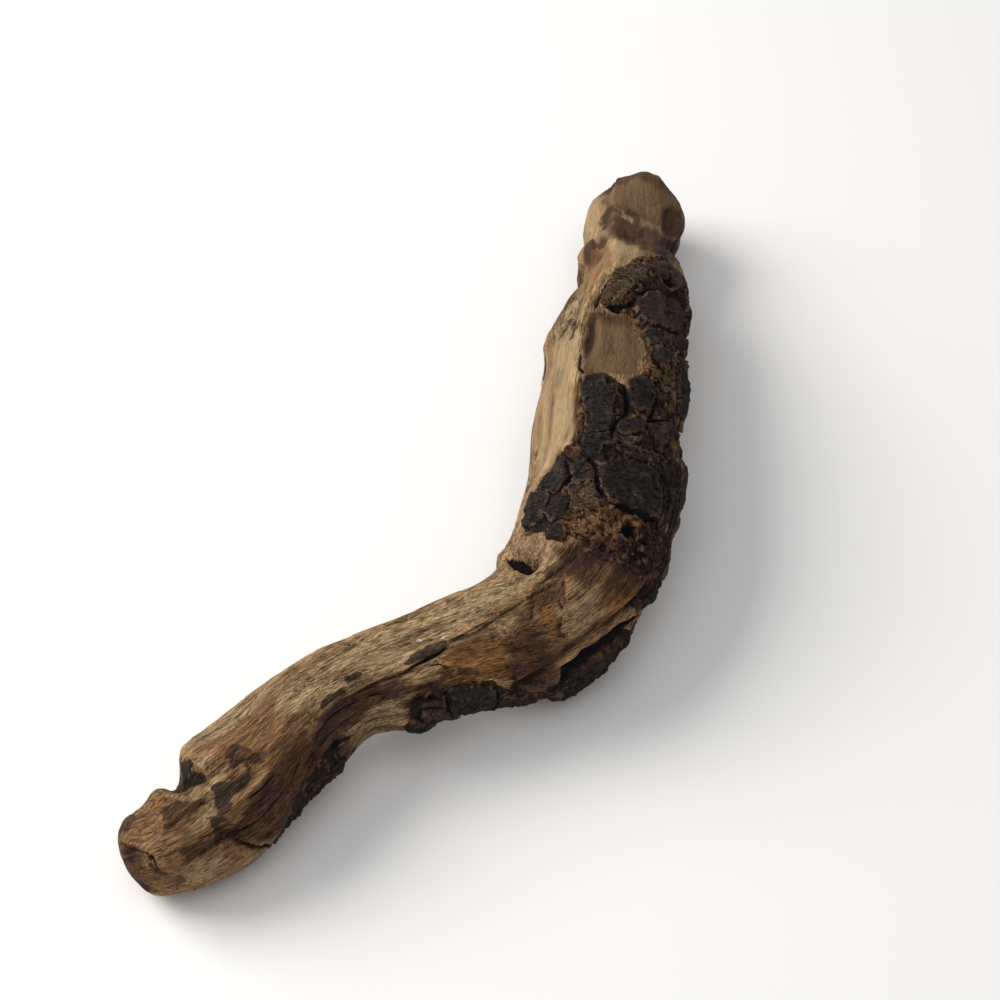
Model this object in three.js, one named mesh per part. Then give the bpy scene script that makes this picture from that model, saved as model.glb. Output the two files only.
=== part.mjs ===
// A piece of driftwood: a short bent branch, worn smooth, with old bark left on it in patches.
// Millimetres, +Z up. X runs from the near end to the far end, and the piece lies on Z = 0.
// The skin is one closed surface round a curved middle line. A spot on it is given by its
// place along that line, in millimetres, and its angle round it: 0 is up, 90 is the +Y side.
import * as THREE from 'three';

// Middle line from the near end to the far end: x, y, z, half width, half height.
const stations = [
  [-154.0, 36.0, 10.5, 10.0, 10.0],
  [-146.5, 28.0, 13.5, 14.0, 13.5],
  [-135.5, 22.5, 16.0, 16.0, 16.0],
  [-122.0, 17.5, 18.5, 17.0, 17.0],
  [-105.0, 13.0, 20.5, 16.5, 16.5],
  [-91.5, 9.0, 22.0, 15.5, 15.5],
  [-81.0, 3.5, 23.0, 14.5, 14.5],
  [-68.0, -6.5, 24.0, 14.5, 15.0],
  [-53.0, -18.5, 23.5, 16.5, 17.5],
  [-39.0, -30.0, 22.0, 19.5, 20.5],
  [-23.0, -34.5, 22.0, 21.5, 22.0],
  [-7.5, -32.0, 23.0, 22.5, 22.5],
  [7.5, -26.0, 25.0, 23.5, 24.0],
  [21.0, -21.0, 27.0, 23.5, 24.0],
  [34.0, -15.0, 28.0, 23.0, 23.0],
  [49.0, -10.0, 28.5, 22.5, 22.5],
  [65.5, -3.0, 28.0, 21.0, 21.5],
  [84.0, 4.0, 25.5, 19.5, 20.0],
  [104.0, 11.0, 22.0, 17.5, 17.5],
  [120.5, 18.5, 18.5, 16.0, 16.0],
  [135.0, 26.5, 17.0, 16.5, 17.0],
  [147.5, 32.5, 15.0, 13.0, 13.5],
];

// How far each end takes to round off.
const nearEndRounding = 7;
const farEndRounding = 12;

// The middle of the box round the piece, taken to X = 0 and Y = 0.
const boxMiddle = [-4.8, -7.2];

// Worn flats: from, to, angle, share of the radius left, softness, fade.
const flats = [
  [182, 262, 58, 0.93, 3.0, 14],
  [214, 250, 2, 0.95, 2.5, 8],
  [98, 128, -42, 0.93, 3.0, 10],
  [60, 96, 10, 0.96, 3.0, 12],
];

// Swellings, and hollows with a height below 0: place, angle, length, breadth, height.
const swellings = [
  [24.5, 52, 5.0, 15, -6.0],
  [13, 68, 8, 13, -1.2],
  [34, 58, 6, 12, 1.8],
  [4, 34, 6, 11, -1.6],
  [4, -75, 6, 10, -2.6],
  [26, -110, 12, 12, 2.8],
  [38, -72, 8, 7, 1.0],
  [50, -104, 14, 12, -1.0],
  [78, -107, 9, 10, -2.6],
  [93, -120, 6, 8, 1.2],
  [108, -116, 9, 9, 1.4],
  [114, -104, 16, 12, -1.4],
  [66, -86, 5, 4.5, -4.4],
  [134, 62, 8, 8, 1.8],
  [150, 84, 12, 9, 4.8],
  [168, 78, 12, 9, 1.6],
  [143, 40, 4.5, 4, -7.0],
  [156, -4, 5, 7, -1.8],
  [158, -98, 12, 13, -3.2],
  [141, -98, 8, 10, -1.6],
  [174, -84, 9, 10, -1.4],
  [190, -78, 7, 7, 0.6],
  [193, 78, 12, 10, -1.8],
  [208, -78, 6, 9, -4.4],
  [236, -76, 14, 9, -2.4],
  [268, -75, 6, 8, 1.6],
  [251, 78, 9, 11, 1.6],
  [278, 72, 10, 12, -3.2],
  [292, 76, 8, 9, 2.0],
  [284, 8, 6, 10, -1.2],
  [297, -66, 6, 12, -6.2],
  [310, -76, 8, 8, 1.8],
  [330, 62, 9, 12, -3.0],
  [330, -60, 8, 10, -1.8],
  [212, 148, 10, 10, 2.6],
  [214, 146, 3.5, 3.5, -3.8],
  [88, 128, 12, 9, 1.8],
  [104, 152, 6, 6, -2.4],
];

// Low spots that the piece rests on, in the same form as the swellings.
const feet = [
  [17, 180, 8, 8, 1.0],
  [146, 186, 10, 10, 2.2],
  [316, 180, 9, 9, 1.6],
];

// Long grooves, and ridges with a height above 0: width, height, path of place and angle.
const channels = [
  [7, -2.4, [[100, -32], [90, -35], [80, -40], [72, -48], [65, -58], [57, -68]]],
  [4, 0.9, [[78, -27], [92, -26], [106, -24], [118, -12], [130, -4]]],
  [6, -4.0, [[160, -80], [152, -68], [145, -62], [138, -65], [132, -78], [128, -94]]],
  [4, -1.2, [[262, 12], [250, 17], [240, 22], [228, 24], [215, 23], [200, 27], [188, 35]]],
  [6, -1.8, [[24, 50], [26, 24], [30, 4], [36, -8]]],
  [5, -1.8, [[25, -60], [29, -76], [33, -94]]],
  [4, -1.3, [[2, -30], [7, -62], [12, -84]]],
  [6, -1.4, [[292, 42], [289, 14], [288, -16], [293, -44]]],
  [5, -1.6, [[60, 150], [84, 162], [112, 158], [132, 170]]],
  [4, -1.4, [[156, 128], [184, 120], [214, 122], [246, 132]]],
  [4, -1.2, [[20, 120], [38, 132], [54, 128]]],
  [4, -1.3, [[262, -150], [286, -144], [308, -150]]],
];

// Patches of old bark: place, angle, half length, half angle, thickness.
const barkPatches = [
  [206, 2, 15, 20, 2.2],
  [192, -26, 21, 28, 2.2],
  [179, -20, 15, 34, 2.6],
  [178, 36, 13, 17, 2.0],
  [169, 50, 9, 18, 2.0],
  [161, 26, 5, 9, 1.6],
  [167, -12, 8, 24, 1.6],
  [159, -62, 11, 20, 1.6],
  [218, -48, 26, 20, 1.4],
  [217, -78, 12, 10, 2.4],
  [180, -82, 26, 22, 1.8],
  [258, -4, 13, 15, 2.2],
  [258, -34, 15, 26, 2.4],
  [246, -36, 9, 24, 2.2],
  [262, -66, 13, 20, 1.8],
  [142, -94, 15, 18, 2.0],
  [112, -100, 18, 22, 2.0],
  [52, -94, 15, 20, 2.0],
  [194, -118, 28, 26, 2.0],
  [146, -128, 16, 16, 1.8],
  [240, -104, 18, 22, 1.8],
  [84, 140, 22, 26, 1.6],
  [222, 142, 24, 26, 2.0],
  [128, 128, 16, 18, 1.6],
  [286, 140, 14, 20, 1.6],
];

// Bark breaks into plates, and the cracks between them go down towards the wood.
const plateLength = 13;
const platesAround = 11;
const crackHalfWidth = 1.7;
const crackFloor = 0.15;
const barkGirth = 138;

// Weathering of the bare wood: length of the waves along the grain and across it, and height.
const weathering = [
  [52, 15, 1.5],
  [26, 7, 0.9],
];

// Spacing of the rings of the skin: plain stretches, barky stretch, steps in each end.
const plainStep = 3.7;
const barkStep = 2.95;
const barkFrom = 158;
const barkTo = 276;
const endSteps = 5;
const pointsAround = 54;

const radians = THREE.MathUtils.degToRad;
const smoothly = (x) => THREE.MathUtils.smoothstep(x, 0, 1);

// Difference of two angles, from -180 to 180 degrees.
function turn(from, to) {
  return THREE.MathUtils.euclideanModulo(to - from + 180, 360) - 180;
}

// A fixed random number from 0 to 1 for each cell of a grid.
function chance(i, j, k) {
  let h = Math.imul(i, 374761393) + Math.imul(j, 668265263) + Math.imul(k, 1442695041);
  h = Math.imul(h ^ (h >>> 13), 1274126177);
  return ((h ^ (h >>> 16)) >>> 0) / 4294967296;
}

// Smooth noise from -1 to 1.
function noise(x, y, z) {
  const [i, j, k] = [x, y, z].map(Math.floor);
  const [u, v, w] = [x - i, y - j, z - k].map(smoothly);
  let sum = 0;
  for (const a of [0, 1]) {
    for (const b of [0, 1]) {
      for (const c of [0, 1]) {
        const share = (a ? u : 1 - u) * (b ? v : 1 - v) * (c ? w : 1 - w);
        sum += share * chance(i + a, j + b, k + c);
      }
    }
  }
  return 2 * sum - 1;
}

// The middle line and its girth as smooth curves, with a table of the length along it.
function curveThrough(points) {
  return new THREE.CatmullRomCurve3(points, false, 'catmullrom', 0.5);
}

const middleLine = curveThrough(stations.map(([x, y, z]) => new THREE.Vector3(x, y, z)));
const girthLine = curveThrough(stations.map((s) => new THREE.Vector3(s[3], s[4], 0)));
middleLine.arcLengthDivisions = 1200;
const fullLength = middleLine.getLength();

function alongLine(place) {
  const share = THREE.MathUtils.clamp(place / fullLength, 0, 1);
  return middleLine.getUtoTmapping(share);
}

// The cross section at a place: its middle, its left and up directions, and its half sizes.
const directionSpan = 6;

function section(place) {
  const t = alongLine(place);
  const centre = middleLine.getPoint(t);
  const girth = girthLine.getPoint(t);
  const ahead = middleLine.getPoint(alongLine(place + directionSpan));
  const along = ahead.sub(middleLine.getPoint(alongLine(place - directionSpan))).normalize();
  const left = new THREE.Vector3(0, 0, 1).cross(along).normalize();
  const up = along.clone().cross(left);
  return { centre, left, up, halfWidth: girth.x, halfHeight: girth.y };
}

// Blunt rounding of the two ends, as a share of the radius.
function endShare(place) {
  const near = THREE.MathUtils.clamp(1 - place / nearEndRounding, 0, 1);
  const far = THREE.MathUtils.clamp(1 - (fullLength - place) / farEndRounding, 0, 1);
  return Math.pow(1 - Math.pow(near, 2.6), 0.45) * Math.sqrt(1 - far * far);
}

// A worn flat brings the radius down to a straight cut, with soft edges.
function wearFlat(radius, mean, place, angle, [from, to, middle, share, softness, fade]) {
  const weight = smoothly((place - from) / fade) * smoothly((to - place) / fade);
  const facing = Math.cos(radians(turn(middle, angle)));
  if (weight === 0 || facing < 0.2) {
    return radius;
  }
  const cut = (share * mean) / facing;
  const blend = THREE.MathUtils.clamp(0.5 + (0.5 * (radius - cut)) / softness, 0, 1);
  const worn = radius + (cut - radius) * blend - softness * blend * (1 - blend);
  return radius + (worn - radius) * weight;
}

function swell(mean, place, angle, [middle, facing, length, breadth, height]) {
  const down = (place - middle) / length;
  const round = (radians(turn(facing, angle)) * mean) / breadth;
  return height * Math.exp(-down * down - round * round);
}

// Distance on the skin from a spot to a path of places and angles.
function distanceToPath(mean, place, angle, path) {
  let nearest = Infinity;
  for (let n = 1; n < path.length; n += 1) {
    const [fromPlace, fromAngle] = path[n - 1];
    const alongX = path[n][0] - fromPlace;
    const alongY = radians(turn(fromAngle, path[n][1])) * mean;
    const spotX = place - fromPlace;
    const spotY = radians(turn(fromAngle, angle)) * mean;
    const share = (spotX * alongX + spotY * alongY) / (alongX * alongX + alongY * alongY);
    const k = THREE.MathUtils.clamp(share, 0, 1);
    nearest = Math.min(nearest, Math.hypot(spotX - k * alongX, spotY - k * alongY));
  }
  return nearest;
}

function carve(mean, place, angle, [width, height, path]) {
  const inside = 1 - distanceToPath(mean, place, angle, path) / width;
  return height * smoothly(inside);
}

// The plate that a spot is on: its own level, and how far the spot is from the nearest crack.
function plateAt(place, angle) {
  const x = place / plateLength;
  const y = ((angle + 360) / 360) * platesAround;
  const middles = [];
  for (let i = Math.floor(x) - 1; i <= Math.floor(x) + 1; i += 1) {
    for (let j = Math.floor(y) - 1; j <= Math.floor(y) + 1; j += 1) {
      const cell = THREE.MathUtils.euclideanModulo(j, platesAround);
      const middleX = i + 0.1 + 0.8 * chance(i, cell, 7);
      const middleY = j + 0.1 + 0.8 * chance(i, cell, 8);
      const across = ((y - middleY) * barkGirth) / platesAround;
      const distance = Math.hypot((x - middleX) * plateLength, across);
      middles.push({ distance, level: chance(i, cell, 9) });
    }
  }
  middles.sort((a, b) => a.distance - b.distance);
  const [nearest, second] = middles;
  return { level: nearest.level, fromCrack: (second.distance - nearest.distance) / 2 };
}

// Bark stands up from the wood in plates, with a ragged edge round each patch.
function barkHeight(place, angle) {
  const ragged = 0.22 * noise(place / 6, Math.cos(radians(angle)) * 4, Math.sin(radians(angle)) * 4);
  let height = 0;
  for (const [middle, facing, halfLength, halfAngle, thickness] of barkPatches) {
    const down = (place - middle) / halfLength;
    const round = turn(facing, angle) / halfAngle;
    const inside = 1 - Math.hypot(down, round) + ragged;
    height = Math.max(height, thickness * smoothly(inside / 0.22));
  }
  const { level, fromCrack } = plateAt(place, angle);
  const plate = (0.75 + 0.6 * level) * smoothly(fromCrack / crackHalfWidth);
  return height * (crackFloor + plate);
}

// Radius of the skin at a spot.
function skinRadius(place, angle, { halfWidth, halfHeight }) {
  const mean = (halfWidth + halfHeight) / 2;
  const sine = Math.sin(radians(angle));
  const cosine = Math.cos(radians(angle));
  let radius = 1 / Math.hypot(cosine / halfHeight, sine / halfWidth);
  for (const flat of flats) {
    radius = wearFlat(radius, mean, place, angle, flat);
  }
  for (const swelling of [...swellings, ...feet]) {
    radius += swell(mean, place, angle, swelling);
  }
  for (const channel of channels) {
    radius += carve(mean, place, angle, channel);
  }
  for (const [alongGrain, acrossGrain, height] of weathering) {
    const y = (cosine * mean) / acrossGrain;
    const z = (sine * mean) / acrossGrain;
    radius += height * (0.4 - 2 * Math.abs(noise(place / alongGrain, y, z)));
  }
  return (radius + barkHeight(place, angle)) * endShare(place);
}

// Places of the rings, closer together at the ends and where the bark is.
function ringPlaces() {
  const places = [];
  for (let n = 1; n < endSteps; n += 1) {
    places.push(nearEndRounding * (1 - Math.cos((n / endSteps) * (Math.PI / 2))));
  }
  const stretches = [
    [nearEndRounding, barkFrom, plainStep],
    [barkFrom, barkTo, barkStep],
    [barkTo, fullLength - farEndRounding, plainStep],
  ];
  for (const [from, to, step] of stretches) {
    const count = Math.round((to - from) / step);
    for (let n = 0; n < count; n += 1) {
      places.push(from + ((to - from) * n) / count);
    }
  }
  for (let n = endSteps; n > 0; n -= 1) {
    const left = farEndRounding * (1 - Math.cos((n / endSteps) * (Math.PI / 2)));
    places.push(fullLength - left);
  }
  return places;
}

// A spot of the skin in space. What would reach below the ground lies flat on it.
function skinPoint(place, angle, here) {
  const radius = skinRadius(place, angle, here);
  const point = here.centre.clone();
  point.addScaledVector(here.up, Math.cos(radians(angle)) * radius);
  point.addScaledVector(here.left, Math.sin(radians(angle)) * radius);
  point.x -= boxMiddle[0];
  point.y -= boxMiddle[1];
  point.z = Math.max(point.z, 0);
  return point;
}

// The skin: a point at each end and rings of points between them.
function makeSkin() {
  const places = ringPlaces();
  const points = [];
  const faces = [];
  for (const place of places) {
    const here = section(place);
    for (let n = 0; n < pointsAround; n += 1) {
      points.push(skinPoint(place, (360 * n) / pointsAround, here));
    }
  }
  const nearPoint = points.length;
  points.push(skinPoint(0, 0, section(0)));
  const farPoint = points.length;
  points.push(skinPoint(fullLength, 0, section(fullLength)));
  for (let n = 0; n < pointsAround; n += 1) {
    const next = (n + 1) % pointsAround;
    const lastRing = (places.length - 1) * pointsAround;
    faces.push(nearPoint, n, next);
    faces.push(farPoint, lastRing + next, lastRing + n);
    for (let ring = 0; ring < lastRing; ring += pointsAround) {
      const [a, b] = [ring + n, ring + next];
      const [c, d] = [b + pointsAround, a + pointsAround];
      faces.push(a, c, b);
      faces.push(a, d, c);
    }
  }
  const geometry = new THREE.BufferGeometry().setFromPoints(points);
  geometry.setIndex(faces);
  geometry.computeVertexNormals();
  return geometry;
}

const weatheredWood = new THREE.MeshStandardMaterial({
  color: 0x7d6547,
  roughness: 0.85,
  metalness: 0,
});

const group = new THREE.Group();
const driftwood = new THREE.Mesh(makeSkin(), weatheredWood);
driftwood.name = 'driftwood';
group.add(driftwood);

export default group;
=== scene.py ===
# A piece of driftwood on a pale floor: a short bent branch with old bark left on it.
# The bare wood is one skin rolled round the branch's middle line, and each patch of bark is a
# piece of its own that sits in it. Forms and marks that the photograph shows are placed through
# its camera, and the sides that it doesn't show are filled by seeded chance.
import itertools
import math

import bpy
import numpy as np
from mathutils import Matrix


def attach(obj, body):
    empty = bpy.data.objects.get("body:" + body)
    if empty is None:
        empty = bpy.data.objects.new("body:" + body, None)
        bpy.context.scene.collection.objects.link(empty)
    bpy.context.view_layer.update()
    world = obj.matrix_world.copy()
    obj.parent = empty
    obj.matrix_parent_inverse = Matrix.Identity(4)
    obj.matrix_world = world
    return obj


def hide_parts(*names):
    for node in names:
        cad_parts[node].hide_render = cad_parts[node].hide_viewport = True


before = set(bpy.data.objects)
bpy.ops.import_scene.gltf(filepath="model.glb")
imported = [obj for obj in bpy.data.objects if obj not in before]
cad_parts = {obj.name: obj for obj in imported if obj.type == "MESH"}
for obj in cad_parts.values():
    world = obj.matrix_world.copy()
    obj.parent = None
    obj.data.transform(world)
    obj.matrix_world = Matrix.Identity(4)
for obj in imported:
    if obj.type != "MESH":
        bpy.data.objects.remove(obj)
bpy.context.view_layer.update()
bpy.ops.object.select_all(action="DESELECT")

MM = 0.001

# Middle line from the near end to the far end: x, y, z, half width, half height, in mm.
STATIONS = [
    [-154.0, 36.0, 10.5, 10.0, 10.0],
    [-146.5, 28.0, 13.5, 14.0, 13.5],
    [-135.5, 22.5, 16.0, 16.0, 16.0],
    [-122.0, 17.5, 18.5, 17.0, 17.0],
    [-105.0, 13.0, 20.5, 16.5, 16.5],
    [-91.5, 9.0, 22.0, 15.5, 15.5],
    [-81.0, 3.5, 23.0, 14.5, 14.5],
    [-68.0, -6.5, 24.0, 14.5, 15.0],
    [-53.0, -18.5, 23.5, 16.5, 17.5],
    [-39.0, -30.0, 22.0, 19.5, 20.5],
    [-23.0, -34.5, 22.0, 21.5, 22.0],
    [-7.5, -32.0, 23.0, 22.5, 22.5],
    [7.5, -26.0, 25.0, 23.5, 24.0],
    [21.0, -21.0, 27.0, 23.5, 24.0],
    [34.0, -15.0, 28.0, 23.0, 23.0],
    [49.0, -10.0, 28.5, 22.5, 22.5],
    [65.5, -3.0, 28.0, 21.0, 21.5],
    [84.0, 4.0, 25.5, 19.5, 20.0],
    [104.0, 11.0, 22.0, 17.5, 17.5],
    [120.5, 18.5, 18.5, 16.0, 16.0],
    [135.0, 26.5, 17.0, 16.5, 17.0],
    [147.5, 32.5, 15.0, 13.0, 13.5],
]

# Middle of the branch in its stations' x and y, which is brought to the origin.
BOX_MIDDLE = (-4.8, -7.2)

# How long its two rounded ends are.
NEAR_END_ROUNDING = 7.0
FAR_END_ROUNDING = 12.0

# How far before and behind a ring the middle line is read, to find which way the ring faces.
DIRECTION_SPAN = 6.0

# Worn flats: from, to, angle, share of the radius left, softness, fade.
FLATS = [
    [182, 262, 58, 0.93, 3.0, 14],
    [214, 250, 2, 0.95, 2.5, 8],
    [98, 128, -42, 0.93, 3.0, 10],
    [60, 96, 10, 0.96, 3.0, 12],
]

# Swellings, and hollows with a height below 0: place, angle, length, breadth, height.
SWELLINGS = [
    [24.5, 52, 5.0, 15, -6.0],
    [13, 68, 8, 13, -1.2],
    [34, 58, 6, 12, 1.8],
    [4, 34, 6, 11, -1.6],
    [4, -75, 6, 10, -2.6],
    [26, -110, 12, 12, 2.8],
    [38, -72, 8, 7, 1.0],
    [50, -104, 14, 12, -1.0],
    [78, -107, 9, 10, -2.6],
    [93, -120, 6, 8, 1.2],
    [108, -116, 9, 9, 1.4],
    [114, -104, 16, 12, -1.4],
    [66, -86, 5, 4.5, -4.4],
    [134, 62, 8, 8, 1.8],
    [150, 84, 12, 9, 4.8],
    [168, 78, 12, 9, 1.6],
    [143, 40, 4.5, 4, -7.0],
    [156, -4, 5, 7, -1.8],
    [158, -98, 12, 13, -3.2],
    [141, -98, 8, 10, -1.6],
    [174, -84, 9, 10, -1.4],
    [190, -78, 7, 7, 0.6],
    [193, 78, 12, 10, -1.8],
    [208, -78, 6, 9, -4.4],
    [236, -76, 14, 9, -2.4],
    [268, -75, 6, 8, 1.6],
    [251, 78, 9, 11, 1.6],
    [278, 72, 10, 12, -3.2],
    [292, 76, 8, 9, 2.0],
    [284, 8, 6, 10, -1.2],
    [297, -66, 6, 12, -6.2],
    [310, -76, 8, 8, 1.8],
    [330, 62, 9, 12, -3.0],
    [330, -60, 8, 10, -1.8],
    [212, 148, 10, 10, 2.6],
    [214, 146, 3.5, 3.5, -3.8],
    [88, 128, 12, 9, 1.8],
    [104, 152, 6, 6, -2.4],
    [17, 180, 8, 8, 1.0],
    [146, 186, 10, 10, 2.2],
    [316, 180, 9, 9, 1.6],
]

# Long grooves, and ridges with a height above 0: width, height, path of place and angle.
CHANNELS = [
    [7, -2.4, [[100, -32], [90, -35], [80, -40], [72, -48], [65, -58], [57, -68]]],
    [4, 0.9, [[78, -27], [92, -26], [106, -24], [118, -12], [130, -4]]],
    [6, -4.0, [[160, -80], [152, -68], [145, -62], [138, -65], [132, -78], [128, -94]]],
    [4, -1.2, [[262, 12], [250, 17], [240, 22], [228, 24], [215, 23], [200, 27], [188, 35]]],
    [6, -1.8, [[24, 50], [26, 24], [30, 4], [36, -8]]],
    [5, -1.8, [[25, -60], [29, -76], [33, -94]]],
    [4, -1.3, [[2, -30], [7, -62], [12, -84]]],
    [6, -1.4, [[292, 42], [289, 14], [288, -16], [293, -44]]],
    [5, -1.6, [[60, 150], [84, 162], [112, 158], [132, 170]]],
    [4, -1.4, [[156, 128], [184, 120], [214, 122], [246, 132]]],
    [4, -1.2, [[20, 120], [38, 132], [54, 128]]],
    [4, -1.3, [[262, -150], [286, -144], [308, -150]]],
]

# Weathering of the bare wood: length of the waves along the grain and across it, and height.
WEATHERING = [[52, 15, 1.5], [26, 7, 0.9]]

# Small forms that only the finished skin has, in the same form as the swellings.
FINER_SWELLINGS = [
    [325, 30, 6, 9, -2.4],
    [327, 58, 5, 7, -0.7],
    [329, -10, 5, 6, 0.7],
    [336, -64, 7, 10, -1.4],
    [318, -74, 5, 8, 1.5],
    [303.5, -70, 4.5, 9, -2.4],
    [296, -86, 7, 9, 1.6],
    [286, -78, 7, 9, 1.4],
    [267, -78, 8, 9, -1.7],
    [221, -88, 8, 9, -2.0],
    [203, -84, 7, 9, 1.0],
    [187, -92, 9, 9, -1.0],
    [165, -96, 8, 9, 0.8],
    [147, -118, 5, 8, 0.7],
    [143, -125, 6, 8, 1.3],
    [138.5, -131, 4, 6, 1.0],
    [131, -133, 7, 8, -1.4],
    [116, -147, 8, 8, 0.8],
    [106, -143, 8, 8, 1.0],
    [95, -124, 7, 8, 1.6],
    [80, -133, 10, 9, 0.8],
    [66, -128, 10, 9, 0.9],
    [52, -122, 12, 9, 1.0],
    [38, -125, 10, 9, 1.0],
    [27, -130, 9, 9, 0.8],
    [90, 27, 16, 9, -0.5],
    [70, 33, 16, 9, -0.7],
    [49, 35, 16, 9, -0.7],
    [36, 48, 6, 8, -1.0],
    [13, 47, 5, 6, -0.9],
    [2.5, -42, 4, 8, -2.0],
    [6, 10, 4, 6, 1.2],
    [9, -52, 5, 6, 1.0],
    [12, -20, 6, 5, -0.9],
    [331, 30, 5, 8, -1.8],
    [306, -88, 4, 8, -2.0],
    [295, -92, 7, 8, 1.4],
    [285, -84, 6, 8, -1.2],
    [221, -88, 7, 8, -1.6],
    [212, -90, 5, 8, 1.4],
    [230, 80, 14, 9, 0.8],
    [1.5, -52, 4, 7, -1.6],
    [16, -128, 8, 9, 1.3],
    [141, 27, 6, 4, -1.8],
    [147, 36, 5, 5, -2.8],
]

# Holes, dented in and painted black as the shade inside them: place, angle, half length, half
# breadth, depth.
HOLES = [
    [143, 48, 4.4, 4.4, 1.5],
]

# Where a hole's painted black shade ends, in its half sizes, and how close to a crack's line that
# black counts.
HOLE_EDGE = 0.95
HOLE_BLACKNESS = 0.2

# Splinter steps: height, how far the raised side reaches, and the path. The raised side is to
# the left of a path that runs from the near end to the far end.
LEDGES = [
    [0.8, 8.0, [(321, 707), (343, 697), (360, 690), (377, 681), (396, 676), (411, 667), (436, 655),
                (448, 643), (470, 632), (487, 621), (507, 611), (533, 594), (562, 575), (588, 561)]],
    [0.7, 5.0, [(562, 575), (566, 592), (563, 612), (561, 630), (567, 644)]],
    [0.6, 5.0, [(232, 836), (252, 822), (270, 806), (284, 790), (291, 770)]],
    [1.4, 7.0, [(232, 836), (243, 841), (252, 845), (262, 846), (271, 842)]],
    [1.1, 4.0, [(119, 839), (130, 846), (148, 852), (154, 857), (157, 866), (165, 874)]],
    [0.8, 2.2, [(582, 350), (583, 328), (590, 305), (601, 282), (606, 262)]],
    [0.5, 4.0, [(160, 796), (180, 790), (206, 776), (226, 768)]],
    [0.5, 3.0, [(168, 868), (190, 858), (214, 844), (240, 826)]],
    [0.4, 4.0, [(344, 664), (380, 647), (420, 631), (452, 617)]],
    [0.4, 3.0, [(352, 722), (376, 712), (402, 704), (424, 690)]],
    [0.5, 3.0, [(520, 596), (544, 580), (566, 560)]],
    [0.7, 3.0, [(642, 231), (628, 222), (621, 210), (612, 206), (604, 214), (603, 230)]],
    [0.6, 3.0, [(677, 236), (662, 226), (663, 213), (671, 208)]],
    [0.5, 2.5, [(598, 254), (596, 244), (589, 242), (585, 252), (586, 263)]],
    [0.5, 2.0, [(571, 343), (576, 331), (574, 320)]],
]

# The photograph's camera. Its middle and focal length are in steps of its thousand-step frame,
# and so are all outlines and paths below that are traced from it.
PHOTO_MIDDLE = 500.0
PHOTO_FOCAL = 2475.0
PHOTO_WIDTH = 1000.0
CAMERA_AZIMUTH = -61.1
CAMERA_ELEVATION = 50.0
CAMERA_DISTANCE = 750.0
LOOK_AT = (6.3, 10.8, 20.0)

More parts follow.
